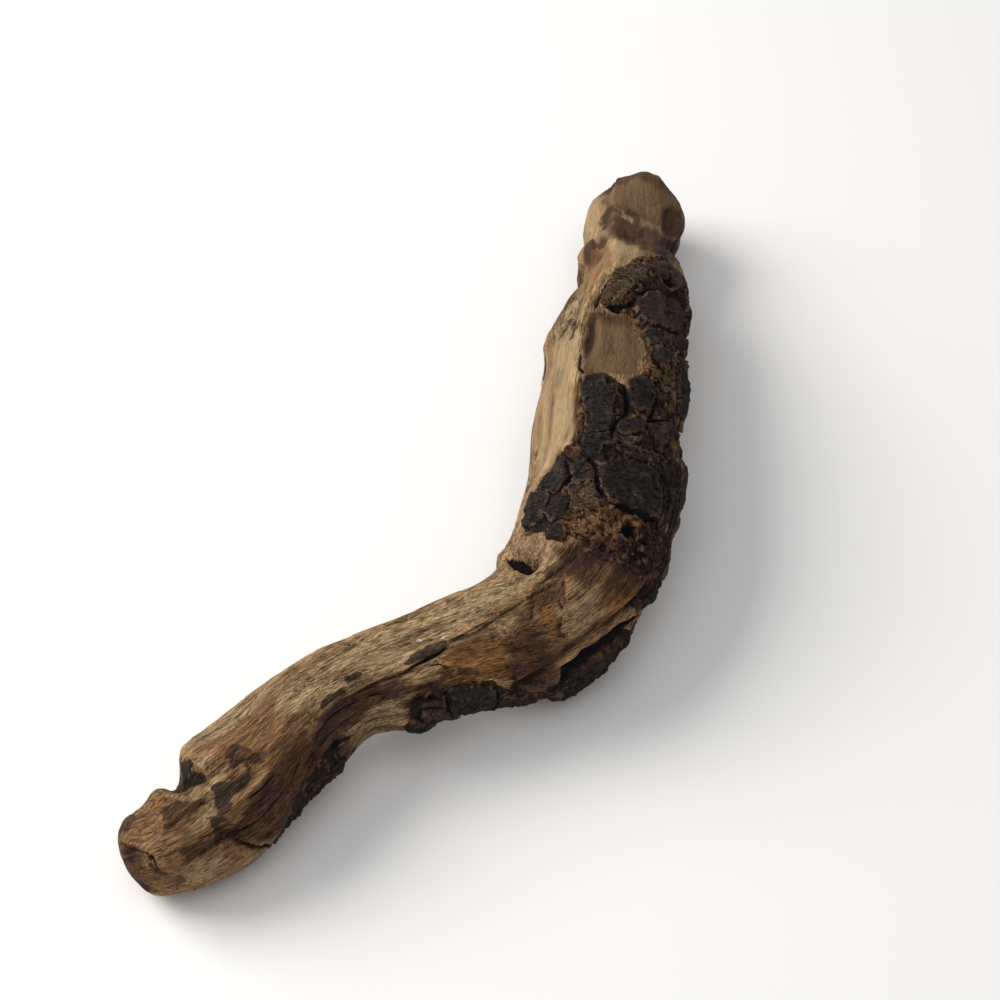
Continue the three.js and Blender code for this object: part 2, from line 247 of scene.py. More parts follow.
# Bark plates: height, brownness from 0 to 1 and worn paler above 1, and outline.
PLATES = [
    [2.3, 0.0, [(586, 381), (600, 377), (603, 384), (615, 390), (617, 398), (613, 406), (613, 415),
                (612, 429), (600, 433), (589, 434), (587, 412), (585, 395)]],
    [2.7, 0.3, [(601, 392), (608, 389), (614, 392), (613, 398), (605, 401), (600, 398)]],
    [2.2, 0.1, [(625, 393), (632, 384), (647, 385), (651, 397), (647, 410), (636, 411),
                (629, 405)]],
    [2.1, 0.3, [(613, 427), (619, 423), (638, 421), (644, 425), (642, 431), (626, 433),
                (615, 433)]],
    [1.6, 0.7, [(646, 424), (661, 425), (671, 434), (672, 441), (662, 443), (650, 435)]],
    [2.1, 0.0, [(586, 437), (599, 437), (612, 434), (616, 441), (601, 446), (598, 457), (606, 463),
                (601, 467), (589, 460), (584, 453), (583, 443)]],
    [1.5, 1.3, [(617, 437), (632, 436), (640, 440), (630, 443), (617, 442)]],
    [1.4, 0.7, [(616, 446), (628, 445), (638, 449), (630, 453), (617, 452)]],
    [1.5, 0.6, [(622, 456), (640, 453), (652, 457), (640, 461), (624, 461)]],
    [2.6, 0.0, [(598, 471), (611, 465), (626, 464), (641, 469), (651, 477), (655, 490), (656, 505),
                (653, 517), (640, 514), (625, 508), (610, 501), (603, 492), (599, 481)]],
    [1.9, 0.1, [(547, 479), (561, 459), (569, 461), (571, 472), (566, 485), (556, 493),
                (546, 491)]],
    [1.9, 0.1, [(528, 512), (533, 495), (543, 492), (550, 498), (547, 512), (539, 524),
                (527, 530)]],
    [1.8, 0.2, [(553, 498), (563, 491), (568, 503), (561, 518), (551, 523), (546, 512)]],
    [1.6, 0.3, [(573, 466), (586, 461), (596, 470), (592, 480), (576, 482)]],
    [1.3, 1.4, [(570, 487), (590, 485), (598, 491), (590, 497), (572, 497)]],
    [1.2, 1.5, [(572, 501), (592, 500), (601, 505), (590, 511), (571, 511)]],
    [1.8, 0.3, [(550, 531), (563, 527), (565, 535), (559, 546), (551, 550), (547, 541)]],
    [2.4, 0.0, [(673, 384), (680, 371), (685, 361), (691, 383), (692, 398), (685, 414), (679, 428),
                (675, 412), (674, 398)]],
    [1.5, 0.1, [(676, 447), (684, 450), (688, 464), (688, 490), (684, 525), (676, 555), (669, 580),
                (665, 570), (671, 545), (675, 515), (677, 485)]],
    [1.6, 1.6, [(607, 283), (617, 273), (628, 268), (641, 267), (646, 272), (642, 280), (634, 288),
                (629, 294), (616, 300), (605, 304), (601, 298)]],
    [1.7, 1.3, [(650, 266), (662, 264), (673, 271), (681, 280), (680, 288), (670, 290),
                (658, 283)]],
    [2.5, 0.9, [(637, 301), (649, 297), (660, 297), (672, 305), (677, 316), (676, 328), (667, 332),
                (650, 327), (637, 318), (633, 310)]],
    [1.8, 0.1, [(680, 256), (686, 262), (690, 280), (690, 296), (685, 318), (680, 314),
                (682, 290)]],
    [1.5, 0.3, [(645, 335), (659, 333), (668, 338), (664, 345), (650, 344)]],
    [1.4, 0.4, [(668, 336), (678, 335), (685, 342), (682, 350), (671, 348)]],
    [1.4, 0.4, [(655, 350), (665, 350), (668, 360), (659, 366), (652, 360)]],
    [1.7, 0.2, [(447, 688), (461, 684), (489, 684), (495, 693), (493, 705), (466, 709),
                (450, 707)]],
    [1.5, 1.2, [(424, 702), (444, 694), (446, 708), (458, 713), (446, 721), (425, 723)]],
    [1.4, 0.2, [(497, 694), (520, 694), (540, 692), (530, 702), (505, 708), (470, 714),
                (466, 711)]],
    [2.0, 0.1, [(402, 725), (416, 718), (432, 718), (436, 724), (423, 730), (412, 732)]],
]

# Outlines of the areas where inner bark still covers the wood.
CRUSTS = [
    [(580, 380), (589, 374), (604, 372), (622, 382), (640, 376), (647, 360), (643, 342), (634, 330),
     (636, 318), (622, 312), (596, 308), (602, 290), (613, 272), (630, 262), (650, 257), (668, 248),
     (684, 254), (692, 280), (690, 310), (684, 340), (684, 364), (674, 384), (677, 430), (689, 460),
     (689, 500), (678, 545), (666, 592), (652, 594), (638, 580), (622, 568), (604, 562), (590, 563),
     (576, 569), (566, 564), (574, 552), (586, 545), (575, 540), (568, 534), (560, 549), (547, 547),
     (543, 533), (525, 537), (525, 515), (534, 490),
     (546, 477), (563, 452), (573, 440), (578, 410)],
    [(400, 726), (412, 717), (408, 702), (428, 692), (448, 685), (470, 681), (492, 681), (512, 690),
     (545, 690), (552, 700), (500, 716), (450, 726), (418, 734)],
    [(655, 602), (640, 622), (628, 640), (610, 664), (592, 684), (574, 700), (556, 699), (560, 684),
     (577, 666), (594, 652), (614, 638), (634, 626), (646, 612)],
    [(330, 752), (346, 757), (346, 768), (330, 786), (306, 806), (284, 830), (268, 846), (272, 838),
     (284, 820), (293, 800), (302, 780), (316, 764)],
    [(672, 372), (680, 366), (686, 362), (691, 384), (691, 400), (684, 418), (678, 430), (674, 412),
     (673, 396)],
]

# Cracks and gaps, cut in and painted black as the shade in them: half width, depth, and path.
CRACKS = [
    [1.3, 1.8, [(603, 307), (616, 309), (629, 306), (637, 300)]],
    [0.9, 1.4, [(628, 297), (642, 293), (657, 294), (669, 300), (676, 309)]],
    [1.5, 1.8, [(657, 278), (664, 283), (671, 286)]],
    [0.9, 1.3, [(594, 311), (600, 297), (608, 283)]],
    [0.8, 1.4, [(622, 383), (626, 400), (626, 415), (618, 421), (612, 432), (612, 447)]],
    [0.8, 1.2, [(584, 452), (592, 464), (598, 474), (598, 490), (606, 500)]],
    [0.9, 1.2, [(563, 452), (552, 470), (536, 488), (527, 508), (524, 532)]],
    [0.7, 1.0, [(568, 462), (571, 478), (562, 492), (552, 500), (548, 516)]],
    [0.6, 1.0, [(645, 383), (655, 400), (652, 414), (646, 422), (668, 430)]],
    [0.7, 0.9, [(651, 470), (663, 478), (668, 495), (664, 520), (655, 535)]],
    [0.8, 1.2, [(612, 504), (628, 512), (645, 520), (656, 522)]],
    [2.4, 2.6, [(621, 533), (629, 531), (634, 529)]],
    [0.6, 0.8, [(653, 515), (657, 535), (665, 545)]],
    [1.7, 3.0, [(646, 612), (626, 629), (606, 643), (588, 656), (570, 671), (556, 688)]],
    [0.7, 1.0, [(446, 688), (448, 708), (452, 716)]],
    [0.6, 0.7, [(412, 700), (428, 697), (445, 697)]],
    [0.6, 0.7, [(416, 708), (430, 704), (445, 704)]],
    [0.6, 0.8, [(494, 686), (497, 700), (490, 712)]],
    [0.4, 0.5, [(405, 671), (411, 667), (428, 659), (440, 652), (448, 644)]],
    [0.2, 0.3, [(448, 643), (470, 632), (487, 622)]],
    [0.2, 0.4, [(559, 598), (563, 616), (564, 626)]],
    [0.4, 0.6, [(580, 350), (579, 368), (585, 373)]],
    [0.4, 0.5, [(577, 388), (578, 410), (576, 430), (570, 452)]],
    [0.5, 0.7, [(246, 757), (238, 763), (231, 771)]],
    [0.5, 0.9, [(243, 841), (250, 845), (260, 846), (270, 842)]],
    [0.22, 0.6, [(119, 839), (130, 846), (148, 852), (154, 857), (157, 866), (165, 874)]],
    [0.2, 0.4, [(534, 602), (532, 618), (536, 636), (541, 652)]],
    [0.3, 0.4, [(410, 678), (424, 667), (440, 664), (452, 672)]],
    [0.3, 0.4, [(345, 646), (352, 644)]],
    [0.3, 0.4, [(387, 621), (396, 617)]],
    [0.3, 0.4, [(449, 624), (458, 620)]],
    [0.3, 0.5, [(311, 752), (318, 733), (331, 716), (352, 703), (377, 694), (398, 690)]],
    [0.3, 0.5, [(291, 770), (284, 790), (270, 806), (252, 822), (232, 836)]],
    [0.3, 0.5, [(301, 752), (296, 770), (289, 786)]],
    [0.25, 0.4, [(246, 800), (262, 788), (276, 772)]],
    [0.25, 0.4, [(190, 842), (212, 832), (234, 820), (252, 806)]],
    [0.25, 0.4, [(209, 775), (202, 783), (190, 789), (172, 795)]],
]

# Marks on the wood and on the bark: how soft their edges are, in mm, and their outlines.
MARKS = {
    "brown": [5.0, [
        [(186, 745), (240, 712), (300, 700), (330, 728), (300, 792), (262, 842), (190, 882),
         (140, 886), (118, 836), (150, 800), (206, 792)],
        [(524, 592), (566, 572), (560, 610), (566, 650), (548, 684), (516, 656)],
        [(596, 244), (640, 266), (612, 276), (596, 304), (584, 300), (584, 262)],
    ]],
    "umber": [4.0, [
        [(506, 650), (516, 618), (530, 596), (546, 588), (536, 620), (548, 650), (566, 668),
         (562, 692), (520, 704), (508, 684)],
        [(583, 324), (592, 318), (596, 344), (592, 372), (585, 378), (584, 350)],
        [(596, 312), (632, 314), (640, 326), (628, 328), (604, 324)],
        [(330, 758), (336, 748), (352, 742), (354, 750), (344, 761), (336, 766)],
        [(402, 704), (430, 680), (470, 684), (512, 690), (512, 702), (450, 716), (408, 724)],
        [(528, 637), (538, 634), (547, 640), (546, 652), (532, 656)],
        [(568, 566), (575, 555), (590, 542), (604, 546), (611, 556), (597, 562), (580, 568)],
        [(530, 600), (535, 590), (548, 584), (563, 588), (560, 599), (545, 604), (534, 612)],
        [(262, 768), (300, 728), (332, 745), (302, 802), (266, 842), (236, 840), (250, 800)],
        [(598, 224), (640, 226), (676, 240), (672, 256), (640, 250), (608, 238)],
        [(556, 550), (600, 538), (662, 550), (670, 590), (640, 602), (600, 590), (572, 584)],
        [(300, 760), (318, 716), (352, 692), (400, 676), (408, 694), (362, 712), (334, 750),
         (322, 770)],
        [(602, 188), (616, 170), (638, 156), (660, 160), (686, 188), (676, 198), (656, 187),
         (637, 180), (620, 187)],
        [(648, 236), (668, 236), (682, 252), (680, 266), (662, 262), (650, 250)],
        [(658, 226), (662, 210), (672, 206), (682, 218), (684, 230), (676, 238), (666, 238)],
        [(584, 266), (584, 250), (590, 240), (598, 244), (596, 256), (592, 268)],
        [(120, 844), (136, 852), (148, 872), (150, 886), (136, 884), (122, 860)],
    ]],
    "curl": [1.6, [
        [(603, 228), (602, 217), (607, 208), (615, 206), (620, 211), (612, 212), (608, 219),
         (609, 226)],
        [(610, 226), (622, 228), (632, 234), (644, 229), (646, 236), (632, 241), (618, 236)],
        [(661, 230), (661, 217), (667, 209), (672, 212), (667, 219), (666, 230)],
        [(584, 262), (584, 248), (590, 240), (599, 243), (600, 250), (592, 248), (590, 262)],
        [(624, 213), (630, 208), (638, 216), (640, 228), (634, 228), (631, 218)],
        [(650, 246), (664, 236), (676, 244), (674, 256), (658, 256)],
    ]],
    "olive": [3.0, [
        [(588, 316), (630, 318), (642, 338), (640, 374), (604, 374), (586, 376), (582, 346)],
        [(600, 202), (612, 184), (634, 174), (656, 180), (678, 196), (688, 214), (684, 238),
         (664, 236), (650, 224), (634, 216), (616, 210)],
        [(560, 318), (576, 316), (580, 332), (572, 350), (560, 344)],
    ]],
    "pale": [2.5, [
        [(583, 244), (585, 214), (592, 202), (600, 198), (601, 234), (592, 240)],
        [(608, 240), (612, 233), (632, 234), (640, 246), (640, 264), (626, 268), (614, 268)],
        [(552, 340), (566, 308), (586, 290), (584, 334), (577, 372), (571, 410), (565, 446),
         (540, 478), (548, 440), (556, 396)],
        [(498, 580), (522, 578), (546, 560), (566, 547), (556, 562), (530, 586), (500, 606),
         (450, 632), (400, 662), (340, 690), (300, 712), (270, 716), (300, 680), (340, 652),
         (420, 618)],
        [(624, 598), (640, 591), (646, 589), (639, 612), (627, 614)],
        [(210, 777), (226, 770), (229, 774), (223, 782), (214, 785)],
        [(252, 788), (258, 774), (268, 768), (274, 772), (266, 786), (256, 796)],
        [(196, 758), (206, 752), (216, 755), (213, 768), (205, 775), (198, 768)],
        [(170, 752), (190, 736), (214, 722), (240, 706), (262, 704), (236, 726), (210, 744),
         (186, 760)],
        [(168, 796), (208, 786), (214, 796), (218, 812), (206, 826), (190, 832), (200, 812),
         (206, 802), (180, 800)],
        [(176, 872), (196, 862), (222, 852), (232, 862), (206, 878), (184, 884)],
        [(668, 384), (673, 390), (677, 428), (672, 420), (669, 400)],
        [(566, 524), (580, 508), (604, 506), (628, 516), (640, 530), (622, 548), (594, 540),
         (574, 534)],
        [(338, 721), (354, 709), (375, 702), (400, 708), (389, 725), (352, 738)],
        [(604, 270), (618, 268), (600, 292), (592, 312), (584, 340), (582, 322), (592, 294)],
    ]],
    "amber": [3.0, [
        [(436, 655), (452, 646), (480, 636), (505, 640), (513, 660), (508, 682), (485, 682),
         (455, 680), (440, 672)],
        [(536, 604), (546, 600), (556, 606), (558, 622), (550, 630), (538, 620)],
        [(600, 600), (616, 584), (632, 590), (624, 606), (608, 622), (596, 630)],
        [(576, 388), (582, 380), (588, 376), (586, 440), (580, 452), (572, 452)],
        [(652, 350), (664, 366), (668, 400), (672, 430), (660, 422), (654, 390)],
        [(590, 552), (620, 546), (644, 560), (630, 566), (600, 566)],
    ]],
    "grey": [1.5, [
        [(210, 788), (217, 785), (231, 780), (243, 771), (245, 764), (250, 768), (246, 783),
         (231, 793), (229, 813), (219, 816), (216, 796)],
        [(208, 820), (226, 815), (232, 820), (214, 830)],
        [(405, 664), (411, 657), (428, 646), (448, 641), (443, 650), (425, 659), (411, 665)],
        [(344, 682), (352, 675), (359, 673), (363, 677), (357, 682), (347, 686)],
        [(321, 705), (327, 695), (343, 690), (347, 693), (334, 702), (323, 709)],
        [(229, 761), (246, 757), (240, 764), (231, 771)],
    ]],
    "stain": [2.0, [
        [(163, 808), (178, 801), (206, 803), (196, 813), (188, 818), (173, 820), (173, 828),
         (165, 828)],
        [(184, 846), (206, 838), (233, 826), (249, 814), (238, 832), (210, 849), (193, 861),
         (183, 863)],
        [(226, 752), (232, 746), (243, 744), (254, 750), (262, 760), (250, 764), (238, 766),
         (226, 761)],
        [(255, 800), (275, 782), (289, 775), (281, 795), (262, 812), (240, 830), (234, 828)],
        [(309, 753), (314, 736), (323, 718), (336, 705), (354, 696), (377, 685), (400, 679),
         (389, 694), (368, 700), (345, 711), (334, 718), (327, 736), (318, 757)],
        [(536, 575), (552, 565), (566, 555), (584, 546), (606, 548), (624, 552), (642, 562),
         (656, 576), (664, 590), (654, 597), (640, 592), (624, 578), (606, 566), (588, 567),
         (572, 573), (552, 581)],
        [(149, 855), (156, 864), (165, 874), (159, 874), (151, 866)],
        [(600, 552), (622, 540), (642, 528), (664, 530), (676, 556), (668, 594), (648, 596),
         (628, 572)],
        [(430, 672), (446, 668), (455, 672), (440, 680)],
        [(455, 668), (474, 666), (480, 672), (462, 677)],
        [(372, 694), (398, 688), (420, 684), (410, 694), (384, 700)],
        [(603, 230), (602, 219), (607, 210), (616, 208), (622, 214), (625, 222), (636, 228),
         (644, 233), (632, 234), (620, 228), (612, 222), (608, 228)],
        [(586, 262), (585, 250), (590, 241), (597, 245), (596, 252), (591, 250), (590, 262)],
        [(119, 838), (124, 822), (134, 812), (138, 820), (130, 834)],
        [(566, 322), (572, 319), (577, 328), (572, 339), (568, 341), (572, 330)],
    ]],
    # Blackish marks, part stain and part painted shade in crevices.
    "dark": [1.2, [
        [(178, 762), (194, 762), (191, 776), (186, 783), (206, 775), (210, 780), (193, 788),
         (180, 792), (163, 793)],
        [(322, 757), (327, 745), (337, 738), (351, 737), (351, 741), (340, 744), (334, 752),
         (330, 761)],
        [(510, 676), (514, 672), (516, 690), (510, 700)],
        [(141, 880), (150, 884), (146, 891), (140, 886)],
    ]],
    "fleck": [0.5, [
        [(484, 687), (486, 681), (490, 679), (489, 685)],
        [(418, 642), (421, 638), (424, 642)],
        [(440, 641), (442, 637), (445, 641)],
    ]],
    "smooth": [3.0, [
        [(588, 316), (630, 318), (642, 338), (640, 374), (604, 374), (586, 376), (582, 346)],
        [(608, 238), (612, 232), (634, 233), (642, 246), (642, 266), (626, 270), (612, 268)],
        [(546, 350), (580, 330), (578, 400), (568, 448), (536, 482), (528, 440), (536, 390)],
        [(584, 264), (582, 230), (592, 196), (608, 176), (632, 160), (662, 166), (684, 192),
         (690, 224), (682, 256), (650, 250), (640, 268), (606, 272), (590, 292), (578, 300)],
    ]],
    "sooty": [4.0, [
        [(582, 376), (650, 382), (678, 432), (660, 470), (610, 470), (598, 500), (570, 500),
         (560, 470), (578, 448)],
        [(600, 300), (610, 276), (640, 262), (680, 264), (688, 320), (670, 340), (640, 330)],
        [(536, 478), (600, 480), (600, 510), (560, 530), (530, 534)],
        [(652, 470), (690, 460), (690, 520), (668, 590), (640, 560), (660, 530)],
        [(560, 560), (590, 545), (620, 560), (640, 580), (600, 570)],
    ]],
    "char": [2.0, [
        [(660, 596), (640, 622), (628, 640), (610, 664), (592, 686), (574, 704), (552, 702),
         (560, 680), (577, 662), (594, 648), (614, 634), (634, 622), (646, 608)],
        [(396, 728), (412, 712), (440, 700), (448, 685), (495, 680), (512, 694), (555, 690),
         (552, 706), (500, 720), (450, 730), (418, 738)],
        [(330, 750), (348, 756), (346, 770), (330, 788), (306, 808), (284, 832), (266, 850),
         (270, 836), (284, 818), (293, 798), (302, 778), (316, 762)],
        [(676, 364), (684, 358), (694, 384), (694, 400), (686, 418), (678, 432), (674, 412),
         (673, 380)],
        [(646, 470), (672, 460), (692, 466), (692, 510), (680, 552), (664, 592), (656, 570),
         (660, 520)],
        [(660, 250), (684, 250), (694, 282), (692, 320), (676, 324), (676, 290), (652, 282)],
        [(520, 536), (524, 512), (536, 486), (560, 452), (576, 462), (566, 500), (546, 536)],
    ]],
}

# The marks that the bare wood takes. Bark takes sooty and char, and shares stain and pale.
WOOD_MARKS = [
    "brown", "olive", "pale", "amber", "umber", "curl", "grey", "stain", "dark", "fleck", "smooth",
]

# The angle that faces the photograph's camera, and marks by chance on the sides that it doesn't
# show: colour, length and breadth of the waves, and the noise where each starts and is full.
SEEN_SIDE = -30.0
UNSEEN_STAINS = [
    ["brown", 58, 22, -0.1, 0.35],
    ["umber", 44, 13, 0.12, 0.5],
    ["pale", 50, 15, 0.2, 0.6],
    ["stain", 20, 8, 0.42, 0.55],
]

# Bark pieces: window of places and angles, how charred they are throughout, outlines of CRUSTS
# that they fill, and patches on the sides that the photograph doesn't show. A patch is place,
# angle, half length, half angle.
BARKS = {
    "bark_upper_limb": {
        "window": (156, 282, -152, 76),
        "char": 0.0,
        "outlines": [0, 4],
        "patches": [(194, -104, 30, 24), (240, -98, 20, 24), (262, -70, 13, 20), (180, -88, 24, 22)],
    },
    "bark_elbow_shell": {
        "window": (124, 168, -156, -62),
        "char": 0.95,
        "outlines": [2],
        "patches": [(144, -106, 12, 14), (147, -130, 15, 15)],
    },
    "bark_lower_edge": {
        "window": (88, 134, -152, -60),
        "char": 0.85,
        "outlines": [1],
        "patches": [(112, -112, 16, 16)],
    },
    "bark_near_limb": {
        "window": (30, 74, -132, -60),
        "char": 0.8,
        "outlines": [3],
        "patches": [(52, -98, 12, 11)],
    },
    "bark_back_of_lower_limb": {
        "window": (56, 150, 96, 178),
        "char": 0.45,
        "outlines": [],
        "patches": [(84, 140, 20, 22), (128, 128, 14, 15)],
    },
    "bark_back_of_upper_limb": {
        "window": (192, 306, 104, 184),
        "char": 0.45,
        "outlines": [],
        "patches": [(222, 142, 23, 24), (286, 140, 13, 18)],
    },
}

# The mesh of the wood: rings on each rounded end, the step between all others, points round it,
# and the side where they are closest and how much closer they are there.
WOOD_END_RINGS = 22
WOOD_RING_STEP = 0.66
WOOD_AROUND = 180
WOOD_CLOSE_SIDE = -30.0
WOOD_CLOSENESS = 0.3

# The step between the points of a bark piece.
BARK_STEP = 0.36

# How far bark sinks into the wood past its edge, and how thick the inner bark is.
BARK_SINK = 1.6
CRUST_THICKNESS = 0.9

# How far bark plates reach past their traced outlines.
PLATE_MARGIN = 0.5

# Bark plates by chance, where none is traced: about how large they are, and how many are missing.
PLATE_SIZE = 12.0
MISSING_PLATES = 0.3

# How charred the sooty areas are, next to the charred ones.
SOOTY_SHARE = 0.75

# Fine relief of the bare wood: height, and length along the grain and across it, in mm.
FIBRES = (0.22, 17, 2.4)
THREADS = (0.10, 8, 1.2)
DENTS = (0.3, 5, 4)

# How the grain drifts across the branch: how far, and length and breadth of the waves, in mm.
GRAIN_DRIFT = (0.9, 24, 9)

# Splinter steps by chance: height, and the share of a layer that each step takes.
SPLINTERS = (0.34, 0.16)

# The hollow at the foot of a ledge: its share of the ledge's height, and its reach.
LEDGE_FOOT = (0.45, 1.6)

# How far the two ends are broken and rough.
BROKEN_NEAR_END = 16
BROKEN_FAR_END = 22

# How far the worn smooth marks take the fine relief of the wood down.
WORN_SHARE = 0.6

# Angle from the seen side at which marks by chance start, and over how much they fade in.
UNSEEN_FROM = 95
UNSEEN_FADE = 20

# How close the points along the wood's seam and at its ends are, in metres, where they are merged.
SEAM_DISTANCE = 0.000002

# How many times a field is averaged to tell a hollow from its surroundings, for the shade that the
# finishes paint into hollows.
WOOD_SOFTENING = 10
BARK_SOFTENING = 6


def smoothly(x):
    """Soft step from 0 to 1."""
    x = np.clip(x, 0.0, 1.0)
    return x * x * (3.0 - 2.0 * x)


def turn(start, end):
    """Difference of two angles, from -180 to 180 degrees."""
    return (end - start + 180.0) % 360.0 - 180.0


def chance(i, j, k):
    """A fixed random number from 0 to 1 for each cell of a grid."""
    mixed = (i * 374761393 + j * 668265263 + k * 1442695041) & 0xFFFFFFFF
    mixed = ((mixed ^ (mixed >> 13)) * 1274126177) & 0xFFFFFFFF
    return (mixed ^ (mixed >> 16)) / 4294967296


def noise(x, y, z):
    """Smooth noise from -1 to 1."""
    x, y, z = np.broadcast_arrays(x, y, z)
    i, j, k = [np.floor(value).astype(np.int64) for value in (x, y, z)]
    u, v, w = smoothly(x - i), smoothly(y - j), smoothly(z - k)
    total = np.zeros(x.shape)
    for a, side_a in ((0, 1 - u), (1, u)):
        for b, side_b in ((0, 1 - v), (1, v)):
            for c, side_c in ((0, 1 - w), (1, w)):
                total += side_a * side_b * side_c * chance(i + a, j + b, k + c)
    return 2 * total - 1


def waves(x, y, z, length, breadth=None):
    """Noise whose waves are so long along the branch and so broad across it, in mm."""
    breadth = breadth or length
    return noise(x / length, y / breadth, z / breadth)


def flakes(value, steepness):
    """Turn a smooth field into layers with crisp edges."""
    layer = np.floor(value)
    return layer + smoothly((value - layer) / steepness)


def curve_through(points, t):
    """Catmull-Rom curve through rows of points, one unit of t from each row to the next."""
    ends = [2 * points[0] - points[1], *points, 2 * points[-1] - points[-2]]
    rows = np.array(ends)
    n = np.clip(np.floor(t).astype(int), 0, len(points) - 2)
    u = (t - n)[:, None]
    before, start, end, after = rows[n], rows[n + 1], rows[n + 2], rows[n + 3]
    leave = 0.5 * (end - before)
    arrive = 0.5 * (after - start)
    bend = 3 * (end - start) - 2 * leave - arrive
    twist = 2 * (start - end) + leave + arrive
    return start + leave * u + bend * u**2 + twist * u**3


ROWS = np.array(STATIONS)
TABLE_T = np.linspace(0, len(STATIONS) - 1, 1201)
TABLE_POINTS = curve_through(ROWS, TABLE_T)
TABLE_STEPS = np.linalg.norm(np.diff(TABLE_POINTS[:, :3], axis=0), axis=1)
TABLE_LENGTHS = np.concatenate([[0], np.cumsum(TABLE_STEPS)])
LENGTH = TABLE_LENGTHS[-1]


def along_line(place):
    """Rows of the stations' curve at places along the middle line."""
    t = np.interp(place, TABLE_LENGTHS, TABLE_T)
    return curve_through(ROWS, t)


def half_sizes(place):
    """Half width and half height of the branch, in the shape of the places."""
    rows = along_line(np.ravel(place))
    shape = np.shape(place)
    return rows[:, 3].reshape(shape), rows[:, 4].reshape(shape)


def mean_radius(place):
    width, height = half_sizes(place)
    return (width + height) / 2


def end_share(place):
    """Blunt rounding of the two ends, as a share of the radius."""
    near = np.clip(1 - place / NEAR_END_ROUNDING, 0, 1)
    far = np.clip(1 - (LENGTH - place) / FAR_END_ROUNDING, 0, 1)
    return (1 - near**2.6) ** 0.45 * np.sqrt(1 - far * far)


def wear_flat(radius, mean, place, angle, flat):
    start, end, middle, share, softness, fade = flat
    weight = smoothly((place - start) / fade) * smoothly((end - place) / fade)
    facing = np.cos(np.radians(turn(middle, angle)))
    cut = share * mean / np.maximum(facing, 0.2)
    blend = np.clip(0.5 + 0.5 * (radius - cut) / softness, 0, 1)
    worn = radius + (cut - radius) * blend - softness * blend * (1 - blend)
    return radius + (worn - radius) * weight * (facing >= 0.2)


def swell(mean, place, angle, swelling):
    middle, facing, length, breadth, height = swelling
    down = (place - middle) / length
    round_it = np.radians(turn(facing, angle)) * mean / breadth
    return height * np.exp(-down * down - round_it * round_it)


def to_path(mean, place, angle, path):
    """Distance on the skin to a path, its sign by the side, and the share of the path passed."""
    nearest = np.full(np.broadcast(place, angle).shape, 1e6)
    side = np.ones(nearest.shape)
    passed = np.zeros(nearest.shape)
    for n in range(1, len(path)):
        from_place, from_angle = path[n - 1]
        along_x = path[n][0] - from_place
        along_y = np.radians(turn(from_angle, path[n][1])) * mean
        spot_x = place - from_place
        spot_y = np.radians(turn(from_angle, angle)) * mean
        share = (spot_x * along_x + spot_y * along_y) / (along_x * along_x + along_y * along_y)
        share = np.clip(share, 0, 1)
        distance = np.hypot(spot_x - share * along_x, spot_y - share * along_y)
        closer = distance < nearest
        nearest = np.where(closer, distance, nearest)
        side = np.where(closer, np.sign(along_x * spot_y - along_y * spot_x), side)
        passed = np.where(closer, (n - 1 + share) / (len(path) - 1), passed)
    return nearest, side, passed


def bare_radius(place, angle):
    """Radius of the wood without its bark, as the solid has it."""
    half_width, half_height = half_sizes(place)
    mean = (half_width + half_height) / 2
    cosine = np.cos(np.radians(angle))
    sine = np.sin(np.radians(angle))
    radius = 1 / np.hypot(cosine / half_height, sine / half_width)
    for flat in FLATS:
        radius = wear_flat(radius, mean, place, angle, flat)
    for swelling in SWELLINGS + FINER_SWELLINGS:
        radius = radius + swell(mean, place, angle, swelling)
    for width, height, path in CHANNELS:
        distance = to_path(mean, place, angle, path)[0]
        radius = radius + height * smoothly(1 - distance / width)
    for along_grain, across_grain, height in WEATHERING:
        y = cosine * mean / across_grain
        z = sine * mean / across_grain
        radius = radius + height * (0.4 - 2 * np.abs(noise(place / along_grain, y, z)))
    return radius


def in_space(place, angle, radius):
    """Points on rings in mm, flat where they meet the floor. Each row of them is one ring."""
    here = along_line(np.ravel(place))
    ahead = along_line(np.minimum(np.ravel(place) + DIRECTION_SPAN, LENGTH))
    behind = along_line(np.maximum(np.ravel(place) - DIRECTION_SPAN, 0))
    along = (ahead - behind)[:, :3]
    along /= np.linalg.norm(along, axis=1)[:, None]
    left = np.stack([-along[:, 1], along[:, 0], np.zeros(len(along))], axis=1)
    left /= np.linalg.norm(left, axis=1)[:, None]
    up = np.cross(along, left)
    turned = np.radians(angle)
    upward = (np.cos(turned) * radius)[..., None] * up[:, None]
    sideways = (np.sin(turned) * radius)[..., None] * left[:, None]
    points = here[:, None, :3] + upward + sideways
    points[..., 0] -= BOX_MIDDLE[0]
    points[..., 1] -= BOX_MIDDLE[1]
    points[..., 2] = np.maximum(points[..., 2], 0)
    return points


def camera_axes():
    """Forward, right and up of the photograph's camera, and where it stands, in mm."""
    azimuth = math.radians(CAMERA_AZIMUTH)
    elevation = math.radians(CAMERA_ELEVATION)
    level = math.cos(elevation)
    forward = np.array([-math.sin(azimuth) * level, math.cos(azimuth) * level, -math.sin(elevation)])
    right = np.array([math.cos(azimuth), math.sin(azimuth), 0])
    return forward, right, np.cross(right, forward), np.array(LOOK_AT) - CAMERA_DISTANCE * forward


